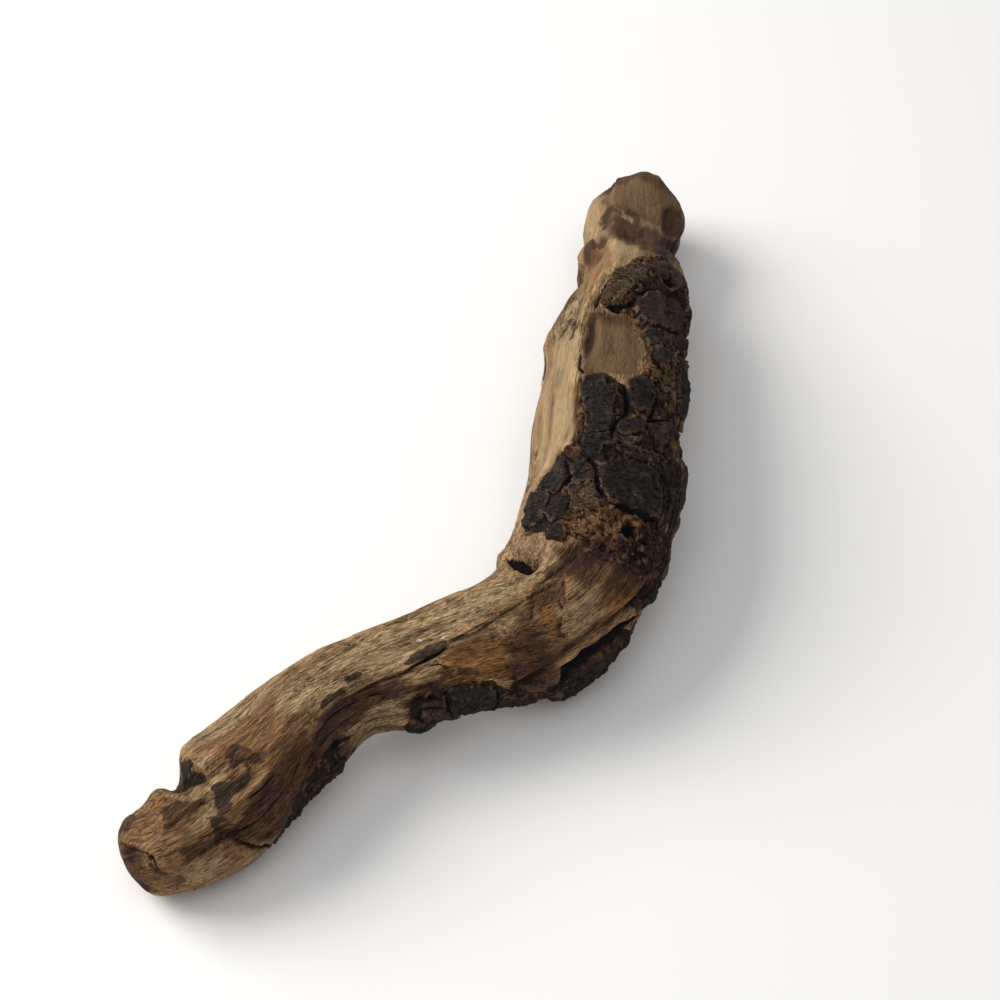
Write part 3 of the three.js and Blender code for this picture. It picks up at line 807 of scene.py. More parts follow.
class SkinLookup:
    """Finds the place and angle on the wood that a spot of the photograph shows."""

    def __init__(self):
        self.place = np.linspace(0.2, LENGTH - 0.2, 680)[:, None]
        self.angle = np.linspace(-180, 180, 361)[None, :-1]
        points = in_space(self.place, self.angle, bare_radius(self.place, self.angle)
                          * end_share(self.place))
        forward, right, up, stand = camera_axes()
        away = points - stand
        depth = away @ forward
        across = PHOTO_MIDDLE + PHOTO_FOCAL * (away @ right) / depth
        down = PHOTO_MIDDLE - PHOTO_FOCAL * (away @ up) / depth
        self.seen_at = np.stack([across, down], axis=2)
        self.by_row = np.gradient(self.seen_at, axis=0)
        wrapped = np.roll(self.seen_at, -1, 1) - np.roll(self.seen_at, 1, 1)
        self.by_column = wrapped / 2
        facing = np.cross(self.by_row, self.by_column)
        outward = points - in_space(self.place, self.angle, 0 * points[..., 0])
        toward = np.einsum("ijk,ijk->ij", outward, -away)
        seen = facing * np.sum(facing * toward) > 0
        self.hidden = np.where(seen, 0.0, 1e5)

    def find(self, spots):
        """The place and angle of each spot of an outline or a path."""
        found = []
        for spot in np.array(spots, dtype=float):
            off = np.linalg.norm(self.seen_at - spot, axis=2) + self.hidden
            row, column = np.unravel_index(np.argmin(off), off.shape)
            step = np.stack([self.by_row[row, column], self.by_column[row, column]], axis=1)
            move = np.linalg.lstsq(step, spot - self.seen_at[row, column], rcond=None)[0]
            move = np.clip(move, -0.7, 0.7)
            row_step = self.place[1, 0] - self.place[0, 0]
            found.append((self.place[row, 0] + move[0] * row_step, self.angle[0, column] + move[1]))
        return found


def depth_inside(place, angle, outline):
    """How deep each spot lies inside an outline on the skin, in mm, and below 0 outside it."""
    outline = np.array(outline)
    facing = outline[0, 1]
    x = place + 0 * angle
    y = np.radians(turn(facing, angle)) * mean_radius(place)
    corner_x = outline[:, 0]
    corner_y = np.radians(turn(facing, outline[:, 1])) * mean_radius(outline[:, 0])
    nearest = np.full(x.shape, 1e6)
    inside = np.zeros(x.shape, dtype=bool)
    for n in range(len(outline)):
        start_x, start_y = corner_x[n - 1], corner_y[n - 1]
        along_x, along_y = corner_x[n] - start_x, corner_y[n] - start_y
        long = along_x * along_x + along_y * along_y + 1e-9
        share = np.clip(((x - start_x) * along_x + (y - start_y) * along_y) / long, 0, 1)
        distance = np.hypot(x - start_x - share * along_x, y - start_y - share * along_y)
        nearest = np.minimum(nearest, distance)
        crosses = (start_y > y) != (corner_y[n] > y)
        slope = along_x / (along_y if along_y else 1e-9)
        inside ^= crosses & (x < start_x + (y - start_y) * slope)
    return np.where(inside, nearest, -nearest)


def soften(field, times, closed=False):
    """Average a field with its neighbours. A closed field joins up round the branch."""
    for _ in range(times):
        padded = np.pad(field, ((1, 1), (0, 0)), mode="edge")
        field = (padded[:-2] + 2 * field + padded[2:]) / 4
        padded = np.pad(field, ((0, 0), (1, 1)), mode="wrap" if closed else "edge")
        field = (padded[:, :-2] + 2 * field + padded[:, 2:]) / 4
    return field


def log_spots(place, angle, radius):
    """Coordinates that follow the grain: along the branch, and across it in two directions."""
    turned = np.radians(angle)
    along, y, z = np.broadcast_arrays(place, np.cos(turned) * radius, np.sin(turned) * radius)
    return along, y, z


def wander(place, angle, size, reach):
    """Move spots on the skin about a little, so that what is drawn there has uneven edges."""
    mean = mean_radius(place)
    x, y, z = log_spots(place, angle, mean)
    down = reach * noise(x / size + 31, y / size, z / size)
    round_it = reach * noise(x / size, y / size + 17, z / size)
    return place + down, angle + np.degrees(round_it / mean)


lookup = SkinLookup()
crack_paths = [[width, depth, lookup.find(spots)] for width, depth, spots in CRACKS]
ledge_paths = [[height, reach, lookup.find(spots)] for height, reach, spots in LEDGES]
plate_outlines = [[height, tone, lookup.find(spots)] for height, tone, spots in PLATES]
crust_outlines = [lookup.find(spots) for spots in CRUSTS]
mark_outlines = {}
for mark, (mark_softness, mark_spots) in MARKS.items():
    mark_outlines[mark] = [mark_softness, [lookup.find(spots) for spots in mark_spots]]


def crack_fields(place, angle):
    """Depth of the cracks, and the distance to the nearest in half widths, plain and by side. The
    finishes paint black shade where that distance is small.
    """
    mean = mean_radius(place)
    uneven = noise(place / 4, turn(0, angle) / 14, 5.5)
    place, angle = wander(place, angle, 3.0, 0.35)
    shape = np.broadcast(place, angle).shape
    depth, near, by_side = np.zeros(shape), np.full(shape, 9.0), np.full(shape, 9.0)
    for width, most, path in crack_paths:
        distance, side, passed = to_path(mean, place, angle, path)
        taper = np.clip(5 * np.minimum(passed, 1 - passed), 0.25, 1)
        taper = taper * np.clip(1 + uneven * (1.1 if width < 0.6 else 0.4), 0.1, 1.6)
        share = np.minimum(distance / (width * taper), 9.0)
        depth = np.maximum(depth, most * taper * np.exp(-share * share))
        by_side = np.where(share < near, side * share, by_side)
        near = np.minimum(near, share)
    # Within a hole the distance counts as on a crack's line, so that the finishes paint it black as
    # shade.
    for middle, facing, half_length, half_breadth, most in HOLES:
        round_it = np.radians(turn(facing, angle)) * mean / half_breadth
        share = np.hypot((place - middle) / half_length, round_it)
        depth = np.maximum(depth, most * (1 - smoothly((share - 0.45) / 0.6)))
        by_side = np.where(share < HOLE_EDGE, HOLE_BLACKNESS, by_side)
        near = np.where(share < HOLE_EDGE, HOLE_BLACKNESS, near)
    return depth, near, by_side


def mark_field(place, angle, name):
    """A mark's strength: 0.5 on its edge, 1 well inside it."""
    softness, outlines = mark_outlines[name]
    place, angle = wander(place, angle, 4.0, 0.8)
    field = np.zeros(np.broadcast(place, angle).shape)
    for outline in outlines:
        depth = depth_inside(place, angle, outline)
        field = np.maximum(field, np.clip(0.5 + depth / (2 * softness), 0, 1))
    return field


def wood_relief(place, angle):
    """Fine relief of the bare wood, in mm: fibres, splinter steps and small dents."""
    mean = mean_radius(place)
    x, y, z = log_spots(place, angle, mean)
    relief = FIBRES[0] * (0.5 - 2 * np.abs(waves(x, y, z, *FIBRES[1:])))
    relief += THREADS[0] * waves(x, y, z, *THREADS[1:])
    layers = 2.4 * waves(x, y, z, 34, 9) + 0.5 * waves(x, y, z, 9, 3)
    splinter_height, splinter_edge = SPLINTERS
    relief += splinter_height * (flakes(layers, splinter_edge) - layers)
    dents = waves(x, y, z, *DENTS[1:])
    relief -= DENTS[0] * smoothly((dents - 0.45) / 0.3)
    foot_share, foot_reach = LEDGE_FOOT
    bent_place, bent_angle = wander(place, angle, 5.0, 0.7)
    for height, reach, path in ledge_paths:
        distance, side, passed = to_path(mean, bent_place, bent_angle, path)
        taper = smoothly(6 * np.minimum(passed, 1 - passed))
        relief += height * taper * np.where(side > 0, np.exp(-distance / reach), 0)
        foot = np.where(side > 0, 0, np.exp(-distance / foot_reach))
        relief -= foot_share * height * taper * foot
    broken = smoothly((BROKEN_NEAR_END - place) / 12)
    broken = broken + 0.5 * smoothly((place - LENGTH + BROKEN_FAR_END) / 16)
    return relief + broken * (1.3 * waves(x, y, z, 5, 6) + 0.4 * waves(x, y, z, 2, 2.5))


def add_mesh_fields(piece, fields):
    """Give a piece one value a point for each named field."""
    for name, values in fields.items():
        kind, entry = ("FLOAT_VECTOR", "vector") if values.ndim == 3 else ("FLOAT", "value")
        attribute = piece.data.attributes.new(name, kind, "POINT")
        attribute.data.foreach_set(entry, values.astype(np.float32).ravel())


def roll_out_grid(name, points, fields):
    """Take a flat grid to rows and columns of points, in mm, and give it its fields."""
    rows, columns = points.shape[:2]
    bpy.ops.mesh.primitive_grid_add(x_subdivisions=columns - 1, y_subdivisions=rows - 1, size=1)
    piece = bpy.context.object
    piece.name = name
    piece.data.name = name
    piece.data.vertices.foreach_set("co", (points * MM).ravel())
    add_mesh_fields(piece, fields)
    return piece


def finish_piece(piece, material):
    piece.data.materials.append(material)
    bpy.ops.object.shade_smooth()
    piece.select_set(False)
    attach(piece, "root")
    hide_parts("driftwood")


def wood_places():
    """Places of the wood's rings, close together at its two ends."""
    near = NEAR_END_ROUNDING * (1 - np.cos(np.linspace(0, math.pi / 2, WOOD_END_RINGS + 1)))
    far = LENGTH - FAR_END_ROUNDING * (1 - np.cos(np.linspace(math.pi / 2, 0, WOOD_END_RINGS + 1)))
    count = round((far[0] - near[-1]) / WOOD_RING_STEP)
    middle = np.linspace(near[-1], far[0], count + 1)[1:-1]
    return np.concatenate([near, middle, far])


def make_wood(material):
    """The bare wood: one skin rolled round the middle line, closed along its seam and ends."""
    place = wood_places()[:, None]
    rounds = np.linspace(0, 2 * math.pi, WOOD_AROUND + 1)
    angle = WOOD_CLOSE_SIDE + np.degrees(rounds - WOOD_CLOSENESS * np.sin(rounds))[None, :]
    crack_depth, crack_near, crack_side = crack_fields(place, angle)
    marks = {name: mark_field(place, angle, name) for name in WOOD_MARKS}
    worn = 1 - WORN_SHARE * marks["smooth"]
    radius = bare_radius(place, angle) + worn * wood_relief(place, angle) - crack_depth
    # The two edges of the skin meet exactly, so that it closes along its seam.
    radius[:, -1] = radius[:, 0]
    share = end_share(place)
    x, y, z = log_spots(place, angle, radius * share)
    drift = GRAIN_DRIFT[0] * waves(x, y, z, *GRAIN_DRIFT[1:])
    # How far each spot lies below its surroundings, for painted shade in the hollows and a painted
    # highlight on what stands up.
    hollow = soften(radius[:, :-1], WOOD_SOFTENING, closed=True) - radius[:, :-1]
    fields = {
        "grain": np.stack([x, y + drift, z - drift], axis=2) * MM,
        "hollow": np.pad(hollow, ((0, 0), (0, 1)), mode="wrap"),
        "crack": crack_near,
        "crack_side": crack_side,
        **marks,
    }
    x, y, z = log_spots(place, angle, mean_radius(place))
    unseen = smoothly((np.abs(turn(SEEN_SIDE, angle)) - UNSEEN_FROM) / UNSEEN_FADE)
    for name, long, across, low, high in UNSEEN_STAINS:
        stains = smoothly((noise(x / long, y / across, z / across + long) - low) / (high - low))
        fields[name] = np.maximum(fields[name], unseen * stains)
    piece = roll_out_grid("bare_wood", in_space(place, angle, radius * share), fields)
    bpy.ops.object.mode_set(mode="EDIT")
    bpy.ops.mesh.select_all(action="SELECT")
    bpy.ops.mesh.remove_doubles(threshold=SEAM_DISTANCE)
    bpy.ops.mesh.normals_make_consistent(inside=False)
    bpy.ops.object.mode_set(mode="OBJECT")
    finish_piece(piece, material)


def broken_bits(x, y, z, size, salt):
    """Bits of random shape about that size: a random number for each, and how far its edge is."""
    x, y, z = [value / size for value in np.broadcast_arrays(x, y, z)]
    first, second = np.full(x.shape, 1e6), np.full(x.shape, 1e6)
    own = np.zeros(x.shape)
    corner = [np.floor(value).astype(np.int64) for value in (x, y, z)]
    for down, beside, across in itertools.product((-1, 0, 1), repeat=3):
        i, j, k = corner[0] + down, corner[1] + beside, corner[2] + across
        off_x = x - i - chance(i, j, k + salt)
        off_y = y - j - chance(i, j + 57, k + salt)
        off_z = z - k - chance(i + 91, j, k + salt)
        distance = np.sqrt(off_x * off_x + off_y * off_y + off_z * off_z)
        second = np.where(distance < first, first, np.minimum(second, distance))
        own = np.where(distance < first, chance(i, j + 33, k + salt), own)
        first = np.minimum(first, distance)
    return own, (second - first) / 2 * size


def fissures(x, y, z):
    """Wavy cracks across the branch, from 0 beside them to 1 in them. They come and go."""
    bend = 0.5 * waves(x, y, z, 5, 3)
    line = np.abs(noise(x / 3.2 + bend, y / 10, z / 10))
    fine = np.abs(noise(x / 2.0 - bend, y / 5 + 3, z / 5))
    there = smoothly((waves(x, y, z, 9, 8) + 0.25) / 0.3)
    fine_there = smoothly((noise(x / 6 + 9, y / 6, z / 6) - 0.05) / 0.25)
    wide = there * (1 - smoothly(line / 0.09))
    return np.maximum(wide, 0.8 * fine_there * (1 - smoothly(fine / 0.1)))


def scales(value):
    """Thin layers over one another: their height, and where each layer has its lip and its foot."""
    slope = np.hypot(*np.gradient(value)) / BARK_STEP + 0.04
    layer = np.floor(value)
    past = (value - layer) / slope
    before = (layer + 1 - value) / slope
    lip = np.exp(-((past - 0.45) / 0.35) ** 2)
    foot = np.exp(-((before / 0.35) ** 2))
    return layer + smoothly(past / 0.3), lip, foot


def inner_bark(x, y, z):
    """Scaly inner bark: its height in mm, its shade, the lips of its scales and its cracks."""
    bend = 2.2 * waves(x, y, z, 6)
    sway = 2.2 * noise(x / 6 + 40, y / 6, z / 6)
    large = noise((x + bend) / 8, (y + sway) / 7, (z - bend) / 7)
    small = noise((x - sway) / 2.6, (y + bend) / 2.8, (z + sway) / 2.8)
    grains = noise((x + sway) / 1.2, y / 1.2, z / 1.2)
    crumbs = noise((x - bend) / 0.7, y / 0.7, z / 0.7)
    layers, lip, foot = scales(2.0 * large + 1.1 * small + 0.5 * grains + 0.3 * crumbs)
    there = smoothly((noise(x / 5 + 7, y / 5, z / 5) + 0.35) / 0.5)
    foot = foot * there
    height = CRUST_THICKNESS + 0.3 * layers + 0.3 * grains + 0.22 * crumbs
    height -= 0.4 * np.abs(noise((x + bend) / 2.2, (y + sway) / 2.2, z / 2.2))
    split = fissures(x, y, z)
    height -= 0.7 * split + 0.25 * foot
    shade = 0.5 + 0.3 * large + 0.3 * small + 0.12 * grains
    # The last of these, the cracks and the feet of the scales, is painted near black by the finish
    # as shade.
    return np.maximum(height, 0.05), shade, lip * there, np.maximum(split, 0.7 * foot)


def plates_by_chance(x, y, z):
    """Bark plates where nothing is traced: each one's level, and how far its edge is, in mm."""
    bend = 1.8 * waves(x, y, z, 6)
    return broken_bits(x * 0.9 + bend, y + bend, z - bend, PLATE_SIZE, 11)


def bark_fields(place, angle, bark):
    """Height of the bark above the wood, and what its finish needs to know of each spot."""
    mean = mean_radius(place)
    x, y, z = log_spots(place, angle, mean)
    ragged_place, ragged_angle = wander(place, angle, 4.0, 1.0)
    edge = np.full(x.shape, -9.0)
    for n in bark["outlines"]:
        edge = np.maximum(edge, depth_inside(ragged_place, ragged_angle, crust_outlines[n]))
    traced = edge.copy()
    for middle, facing, half_length, half_angle in bark["patches"]:
        down = (ragged_place - middle) / half_length
        round_it = turn(facing, ragged_angle) / half_angle
        half_breadth = np.radians(half_angle) * mean
        patch = (1 - np.hypot(down, round_it)) * np.minimum(half_length, half_breadth)
        edge = np.maximum(edge, patch)
    edge = edge + 0.5 * waves(x, y, z, 1.6)
    crust, shade, lip, crease = inner_bark(x, y, z)

    plate = np.zeros(x.shape)
    tone = np.full(x.shape, 0.5)
    near_place, near_angle = wander(place, angle, 2.8, 0.9)
    near_place, near_angle = wander(near_place, near_angle, 0.9, 0.4)
    inside_plate = np.full(x.shape, -9.0)
    for height, plate_tone, outline in plate_outlines:
        depth = depth_inside(near_place, near_angle, outline) + PLATE_MARGIN
        rise = height * smoothly((depth + 0.1) / 0.38)
        tone = np.where((rise > plate) & (depth > -0.1), plate_tone, tone)
        plate = np.maximum(plate, rise)
        inside_plate = np.maximum(inside_plate, depth)
    level, from_edge = plates_by_chance(x, y, z)
    untraced = smoothly((1.5 - traced) / 2.0)
    there = level > MISSING_PLATES
    rise = (1.0 + 1.3 * level) * smoothly((from_edge - 0.5) / 0.5) * untraced * there
    tone = np.where(rise > plate, 0.2 + 0.7 * (level > 0.75), tone)
    plate = np.maximum(plate, rise)
    inside_plate = np.maximum(inside_plate, np.where(there & (untraced > 0.5), from_edge - 0.5, -9))
    on_plate = smoothly((inside_plate + 0.1) / 0.35)
    split = fissures(x + 13, y, z)
    uneven = 0.16 * flakes(2 * waves(x, y, z, 4, 5), 0.3) + 0.12 * waves(x, y, z, 1.2, 1.4)
    across = np.abs(noise(x / 1.5 + 0.6 * waves(x, y, z, 4), y / 7, z / 7))
    plate = plate + on_plate * (uneven + 0.45 * (across - 0.4) - 0.7 * split)

    sooty = SOOTY_SHARE * mark_field(place, angle, "sooty")
    crack_depth, crack_near, _ = crack_fields(place, angle)
    stand = np.maximum(crust, plate) * smoothly(edge / 0.7) - crack_depth
    sunk = -BARK_SINK * (1 - smoothly((edge + 0.6) / 0.6))
    height = np.where(edge > 0, stand, np.minimum(0, -crack_depth)) + sunk
    fields = {
        "plate": on_plate,
        "tone": tone,
        "shade": shade,
        "crease": np.where(on_plate > 0.5, 0.8 * split, crease),
        "red": mark_field(place, angle, "stain"),
        "light": mark_field(place, angle, "pale"),
        "rim": np.exp(-((inside_plate - 0.15) / 0.32) ** 2),
        "lip": lip,
        "crack": crack_near,
        "char": np.maximum(mark_field(place, angle, "char"), sooty),
    }
    return height, fields


def make_bark(name, bark, material):
    """A piece of bark: its face over the wood, closed by a fan to a point inside the branch."""
    start, end, from_angle, to_angle = bark["window"]
    middle = (start + end) / 2
    width = np.radians(to_angle - from_angle) * mean_radius(np.array([middle]))[0]
    place = np.linspace(start, end, round((end - start) / BARK_STEP))[:, None]
    angle = np.linspace(from_angle, to_angle, round(width / BARK_STEP))[None, :]
    height, fields = bark_fields(place, angle, bark)
    fields["char"] = np.maximum(fields["char"], bark["char"])
    edges = np.ones(height.shape, dtype=bool)
    edges[2:-2, 2:-2] = False
    height = np.where(edges, -BARK_SINK, height)
    radius = bare_radius(place, angle) + height
    x, y, z = log_spots(place, angle, radius)
    fields["grain"] = np.stack([x, y, z], axis=2) * MM
    # How far each spot lies below its surroundings, for the painted shade in the bark's hollows.
    fields["hollow"] = soften(height, BARK_SOFTENING) - height
    piece = roll_out_grid(name, in_space(place, angle, radius), fields)
    bpy.ops.object.mode_set(mode="EDIT")
    bpy.ops.mesh.select_all(action="DESELECT")
    bpy.ops.mesh.select_non_manifold()
    bpy.ops.mesh.edge_face_add()
    bpy.ops.mesh.poke()
    bpy.ops.object.mode_set(mode="OBJECT")
    core = in_space(np.array([[middle]]), np.array([[0.0]]), np.array([[0.0]]))[0, 0] * MM
    piece.data.vertices[-1].co = core
    bpy.ops.object.mode_set(mode="EDIT")
    bpy.ops.mesh.select_all(action="SELECT")
    bpy.ops.mesh.normals_make_consistent(inside=False)
    bpy.ops.object.mode_set(mode="OBJECT")
    finish_piece(piece, material)


def paint(red, green, blue):
    """A colour from 0 to 255, as a screen shows it, as Blender's linear colour."""
    shown = np.array([red, green, blue]) / 255
    linear = np.where(shown > 0.04045, ((shown + 0.055) / 1.055) ** 2.4, shown / 12.92)
    return (*linear, 1.0)


class Finish:
    """A material built up step by step from noise and from the fields of a piece."""

    def __init__(self, name):
        self.material = bpy.data.materials.new(name)
        self.material.use_nodes = True
        self.tree = self.material.node_tree
        self.shader = self.tree.nodes["Principled BSDF"]

    def node(self, kind, **settings):
        made = self.tree.nodes.new(kind)
        for name, value in settings.items():
            setattr(made, name, value)
        return made

    def put(self, value, socket):
        if isinstance(value, bpy.types.NodeSocket):
            self.tree.links.new(value, socket)
        else:
            socket.default_value = value

    def field(self, name, output="Fac"):
        return self.node("ShaderNodeAttribute", attribute_name=name).outputs[output]

    def speckle(self, where, scale, detail=3.0, shift=0.0):
        """Noise from 0 to 1 with so many waves a metre in each direction."""
        mapping = self.node("ShaderNodeMapping")
        mapping.inputs["Scale"].default_value = scale
        mapping.inputs["Location"].default_value = (shift, shift * 1.7, shift * 2.3)
        self.put(where, mapping.inputs["Vector"])
        made = self.node("ShaderNodeTexNoise")
        made.inputs["Scale"].default_value = 1.0
        made.inputs["Detail"].default_value = detail
        self.put(mapping.outputs["Vector"], made.inputs["Vector"])
        return made.outputs["Fac"]

    def step(self, value, low, high, most=1.0):
        """Soft step from 0 at low to most at high. Low may be above high."""
        made = self.node("ShaderNodeMapRange", interpolation_type="SMOOTHSTEP")
        swapped = low > high
        made.inputs["From Min"].default_value = min(low, high)
        made.inputs["From Max"].default_value = max(low, high)
        made.inputs["To Min"].default_value = most if swapped else 0.0
        made.inputs["To Max"].default_value = 0.0 if swapped else most
        self.put(value, made.inputs["Value"])
        return made.outputs["Result"]

    def work(self, operation, first, second=0.0):
        made = self.node("ShaderNodeMath", operation=operation)
        self.put(first, made.inputs[0])
        self.put(second, made.inputs[1])
        return made.outputs["Value"]

    def swing(self, value, most):
        """A noise from 0 to 1 made to swing round 0."""
        return self.work("MULTIPLY", self.work("SUBTRACT", value, 0.5), most)

    def mix(self, share, under, over, blend="MIX"):
        made = self.node("ShaderNodeMix", data_type="RGBA", blend_type=blend)
        self.put(share, made.inputs[0])
        self.put(under, made.inputs[6])
        self.put(over, made.inputs[7])
        return made.outputs[2]

    def tint(self, colour, tints, hold=None):
        """Make a colour darker or lighter by red, green and blue, each where its value steps up."""
        for value, low, high, most, *factors in tints:
            share = self.step(value, low, high, most)
            if hold is not None:
                share = self.work("MULTIPLY", share, hold)
            colour = self.mix(share, colour, (*factors, 1.0), "MULTIPLY")
        return colour

    def ramp(self, value, stops):
        """Colours at given values, with soft steps between them."""
        made = self.node("ShaderNodeValToRGB")
        stretch = made.color_ramp.elements
        stretch[0].position, stretch[0].color = stops[0]
        stretch[1].position, stretch[1].color = stops[-1]
        for place, colour in stops[1:-1]:
            stretch.new(place).color = colour
        self.put(value, made.inputs["Fac"])
        return made.outputs["Color"]

    def bump(self, height, distance):
        made = self.node("ShaderNodeBump")
        made.inputs["Distance"].default_value = distance
        self.put(height, made.inputs["Height"])
        self.put(made.outputs["Normal"], self.shader.inputs["Normal"])

    def crack(self):
        """Where a crack runs, which the finishes paint black as the shade in it: the sharp line
        where its two sides meet, and only near the crack.
        """
        line = self.step(self.work("ABSOLUTE", self.field("crack_side")), 1.0, 0.45)
        return self.work("MULTIPLY", line, self.step(self.field("crack"), 1.7, 1.2))


def weathered_wood():
    """Bare wood gone grey and tan, with fibres along the grain and stains, painted shade in its
    hollows and cracks, and a painted highlight on what stands up.
    """
    wood = Finish("weathered_wood")
    grain = wood.field("grain", "Vector")
    broad = wood.speckle(grain, (14, 80, 80), 3)
    clouds = wood.speckle(grain, (60, 190, 190), 4, 3)
    bands = wood.speckle(grain, (40, 400, 400), 4, 5)
    fibres = wood.speckle(grain, (170, 1500, 1500), 6, 7)
    threads = wood.speckle(grain, (420, 2900, 2900), 4, 9)
    pits = wood.speckle(grain, (700, 1300, 1300), 4, 11)
    edges = wood.speckle(grain, (260, 620, 620), 5, 13)
    checks = wood.speckle(grain, (70, 620, 620), 2, 15)

    colour = wood.mix(wood.step(broad, 0.38, 0.62), paint(148, 122, 91), paint(130, 103, 72))
    cloudy = wood.swing(clouds, 1.0)
    for name, shade, most in [
        ("brown", paint(125, 92, 61), 0.85),
        ("olive", paint(92, 72, 49), 0.82),
        ("pale", paint(154, 132, 98), 0.85),
        ("amber", paint(124, 84, 43), 0.85),
        ("umber", paint(72, 49, 31), 0.88),
        ("curl", paint(52, 38, 26), 0.85),
    ]:
        strength = wood.work("ADD", wood.field(name), cloudy)
        colour = wood.mix(wood.step(strength, 0.25, 0.75, most), colour, shade)
    plain = wood.step(wood.field("smooth"), 0.3, 0.8)
    rough = wood.work("SUBTRACT", 1.0, wood.work("MULTIPLY", plain, 0.72))
    cloudiness = wood.work("SUBTRACT", 1.0, wood.work("MULTIPLY", plain, 0.3))
    colour = wood.tint(colour, [
        (clouds, 0.52, 0.68, 0.6, 0.56, 0.49, 0.43),
        (clouds, 0.46, 0.34, 0.5, 1.22, 1.20, 1.17),
        (bands, 0.53, 0.68, 0.6, 0.54, 0.48, 0.42),
        (bands, 0.46, 0.32, 0.5, 1.26, 1.23, 1.20),
    ], cloudiness)

    uneven = wood.swing(edges, 1.3)
    # The dark marks are part stain and part painted shade in crevices.
    for name, shade, low, high, most in [
        ("grey", paint(56, 45, 38), 0.42, 0.56, 0.93),
        ("stain", paint(66, 44, 32), 0.4, 0.58, 0.85),
        ("dark", paint(24, 17, 12), 0.35, 0.65, 0.93),
        ("fleck", paint(190, 182, 166), 0.4, 0.6, 0.9),
    ]:
        strength = wood.work("ADD", wood.field(name), uneven)
        colour = wood.mix(wood.step(strength, low, high, most), colour, shade)

    # Painted shade darkens the hollows, and a painted highlight lightens what stands up.
    hollow = wood.field("hollow")
    colour = wood.tint(colour, [
        (hollow, 0.04, 0.42, 0.9, 0.22, 0.17, 0.13),
        (hollow, -0.04, -0.3, 0.6, 1.45, 1.42, 1.38),
    ])
    colour = wood.tint(colour, [
        (fibres, 0.48, 0.36, 0.7, 0.42, 0.37, 0.33),
        (fibres, 0.53, 0.64, 0.7, 1.5, 1.47, 1.43),
        (threads, 0.48, 0.38, 0.85, 0.42, 0.37, 0.33),
        (threads, 0.54, 0.64, 0.85, 1.6, 1.57, 1.52),
        (pits, 0.58, 0.66, 0.6, 0.36, 0.31, 0.27),
    ], rough)
    line = wood.work("ABSOLUTE", wood.work("SUBTRACT", checks, 0.5))
    check = wood.work("MULTIPLY", wood.step(line, 0.016, 0.006), wood.step(clouds, 0.5, 0.56, 0.8))
    colour = wood.mix(wood.work("MULTIPLY", check, rough), colour, paint(34, 22, 14))
    # Cracks and holes painted near black, as the shade in them.
    colour = wood.mix(wood.crack(), colour, paint(12, 8, 6))
    wood.put(colour, wood.shader.inputs["Base Color"])
    wood.shader.inputs["Roughness"].default_value = 0.85
    wood.shader.inputs["Specular IOR Level"].default_value = 0.2
    relief = wood.work("MULTIPLY", fibres, 0.8)
    relief = wood.work("ADD", relief, wood.work("MULTIPLY", threads, 0.35))
    relief = wood.work("SUBTRACT", relief, wood.work("MULTIPLY", check, 0.4))
    wood.bump(wood.work("MULTIPLY", relief, rough), 0.0016)
    return wood.material


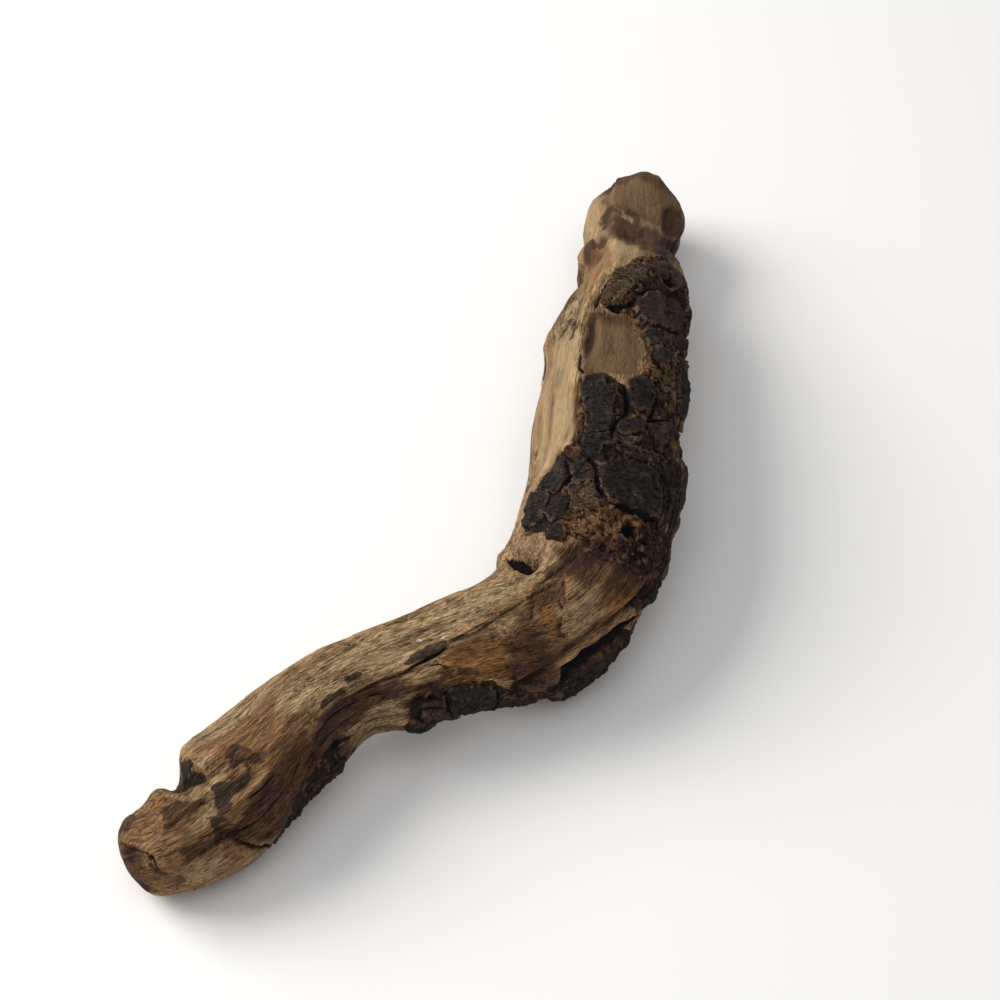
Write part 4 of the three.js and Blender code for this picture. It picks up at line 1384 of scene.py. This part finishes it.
def old_bark():
    """Charred-looking plates on scaly inner bark, with worn golden lips, and painted shade in its
    hollows, creases and cracks.
    """
    bark = Finish("old_bark")
    grain = bark.field("grain", "Vector")
    spots = bark.node("ShaderNodeTexCoord").outputs["Object"]
    crumbs = bark.speckle(spots, (420, 420, 420), 4, 3)
    grit = bark.speckle(spots, (1500, 1500, 1500), 3, 5)
    wrinkles = bark.speckle(grain, (1300, 600, 600), 4, 7)
    broad = bark.speckle(spots, (55, 55, 55), 3, 9)
    blotches = bark.speckle(spots, (170, 170, 170), 4, 11)
    scuffs = bark.speckle(grain, (160, 260, 260), 4, 13)
    hollow = bark.field("hollow")

    shade = bark.work("ADD", bark.field("shade"), bark.work("MULTIPLY", broad, 0.5))
    crust = bark.ramp(shade, [
        (0.40, paint(38, 27, 18)),
        (0.60, paint(68, 46, 29)),
        (0.78, paint(94, 67, 41)),
        (0.90, paint(72, 45, 29)),
        (1.00, paint(112, 84, 50)),
    ])
    crust = bark.mix(bark.step(bark.field("light"), 0.3, 0.8, 0.7), crust, paint(132, 98, 70))
    reddish = bark.work("ADD", bark.field("red"), bark.swing(broad, 1.2))
    crust = bark.mix(bark.step(reddish, 0.25, 0.6, 0.85), crust, paint(56, 32, 22))
    crust = bark.mix(bark.step(hollow, -0.12, -0.5, 0.45), crust, paint(134, 103, 66))
    # Painted shade darkens the gaps between crumbs, where the bump also sinks them; crumbs and grit
    # turn paler and blotches darker.
    crust = bark.tint(crust, [
        (crumbs, 0.5, 0.6, 0.9, 0.3, 0.25, 0.22),
        (crumbs, 0.45, 0.34, 0.7, 1.5, 1.42, 1.3),
        (grit, 0.54, 0.66, 0.7, 1.8, 1.7, 1.6),
        (blotches, 0.51, 0.6, 0.75, 0.42, 0.35, 0.3),
    ])
    charred = bark.work("ADD", bark.field("char"), bark.swing(blotches, 2.2))
    crust = bark.mix(bark.step(charred, 0.5, 0.8, 0.85), crust, paint(33, 27, 21))
    lip = bark.work("MULTIPLY", bark.field("lip"), bark.step(crumbs, 0.55, 0.4, 0.75))
    golden = bark.work("MULTIPLY", lip, bark.step(charred, 1.1, 0.7))
    crust = bark.mix(golden, crust, paint(138, 107, 68))

    plate = bark.mix(bark.field("tone"), paint(31, 29, 26), paint(51, 36, 30))
    plate = bark.mix(bark.step(bark.field("tone"), 1.0, 1.6), plate, paint(80, 65, 49))
    plate = bark.mix(bark.step(scuffs, 0.5, 0.64, 0.7), plate, paint(66, 51, 36))
    # Paler grit and wrinkle ridges, part grey specks and part painted highlight; the troughs of the
    # wrinkles darkened as painted shade.
    plate = bark.tint(plate, [
        (grit, 0.54, 0.66, 0.6, 2.4, 2.3, 2.2),
        (wrinkles, 0.54, 0.66, 0.8, 2.6, 2.5, 2.3),
        (wrinkles, 0.46, 0.34, 0.9, 0.3, 0.28, 0.26),
    ])
    colour = bark.mix(bark.field("plate"), crust, plate)
    rim = bark.work("MULTIPLY", bark.field("rim"), bark.step(blotches, 0.42, 0.56, 0.8))
    colour = bark.mix(rim, colour, paint(140, 108, 80))
    # Painted shade: near black in the hollows of the bark.
    colour = bark.mix(bark.step(hollow, 0.03, 0.2, 0.88), colour, paint(16, 11, 8))
    # Creases and fissures painted near black, as the shade in them.
    colour = bark.mix(bark.step(bark.field("crease"), 0.2, 0.9, 0.92), colour, paint(12, 8, 6))
    # Cracks and holes painted near black, as the shade in them.
    colour = bark.mix(bark.step(bark.field("crack"), 1.0, 0.5), colour, paint(9, 7, 6))
    bark.put(colour, bark.shader.inputs["Base Color"])
    bark.shader.inputs["Roughness"].default_value = 0.82
    bark.shader.inputs["Specular IOR Level"].default_value = 0.22
    relief = bark.work("MULTIPLY", grit, 0.6)
    relief = bark.work("ADD", relief, bark.work("MULTIPLY", wrinkles, 1.1))
    relief = bark.work("SUBTRACT", relief, bark.work("MULTIPLY", crumbs, 0.8))
    bark.bump(relief, 0.0024)
    return bark.material


def pale_floor():
    floor = Finish("pale_floor")
    floor.shader.inputs["Base Color"].default_value = (0.9, 0.9, 0.9, 1.0)
    floor.shader.inputs["Roughness"].default_value = 0.9
    return floor.material


def make_floor(material):
    bpy.ops.mesh.primitive_grid_add(x_subdivisions=2, y_subdivisions=2, size=6)
    floor = bpy.context.object
    floor.name = "floor"
    floor.data.materials.append(material)
    floor.select_set(False)


def add_light(name, place, size, power, colour):
    """A soft square lamp that looks at the middle of the branch."""
    lamp = bpy.data.lights.new(name, "AREA")
    lamp.size = size
    lamp.energy = power
    lamp.color = colour
    holder = bpy.data.objects.new(name, lamp)
    bpy.context.collection.objects.link(holder)
    target = np.array(LOOK_AT) * MM
    ahead = target - np.array(place)
    level = math.hypot(ahead[0], ahead[1])
    holder.location = place
    holder.rotation_euler = (math.atan2(level, -ahead[2]), 0, math.atan2(-ahead[0], ahead[1]))


def light_room():
    world = bpy.data.worlds.new("soft_room")
    bpy.context.scene.world = world
    world.use_nodes = True
    world.node_tree.nodes["Background"].inputs["Color"].default_value = (1.0, 1.0, 1.0, 1.0)
    world.node_tree.nodes["Background"].inputs["Strength"].default_value = 0.36
    add_light("window", (-0.2, 1.05, 0.85), 0.9, 20.0, (1.0, 0.97, 0.93))
    add_light("ceiling", (-0.4, -0.2, 1.5), 1.4, 6.0, (1.0, 1.0, 1.0))
    bpy.context.scene.view_settings.view_transform = "Standard"


def add_camera():
    stand = camera_axes()[3]
    view = bpy.data.cameras.new("photograph")
    view.sensor_width = 36.0
    view.lens = view.sensor_width * PHOTO_FOCAL / PHOTO_WIDTH
    holder = bpy.data.objects.new("photograph", view)
    bpy.context.collection.objects.link(holder)
    holder.location = stand * MM
    holder.rotation_euler = (math.radians(90 - CAMERA_ELEVATION), 0, math.radians(CAMERA_AZIMUTH))
    bpy.context.scene.camera = holder


make_wood(weathered_wood())
bark_finish = old_bark()
for bark_name, bark_facts in BARKS.items():
    make_bark(bark_name, bark_facts, bark_finish)
make_floor(pale_floor())
light_room()
add_camera()
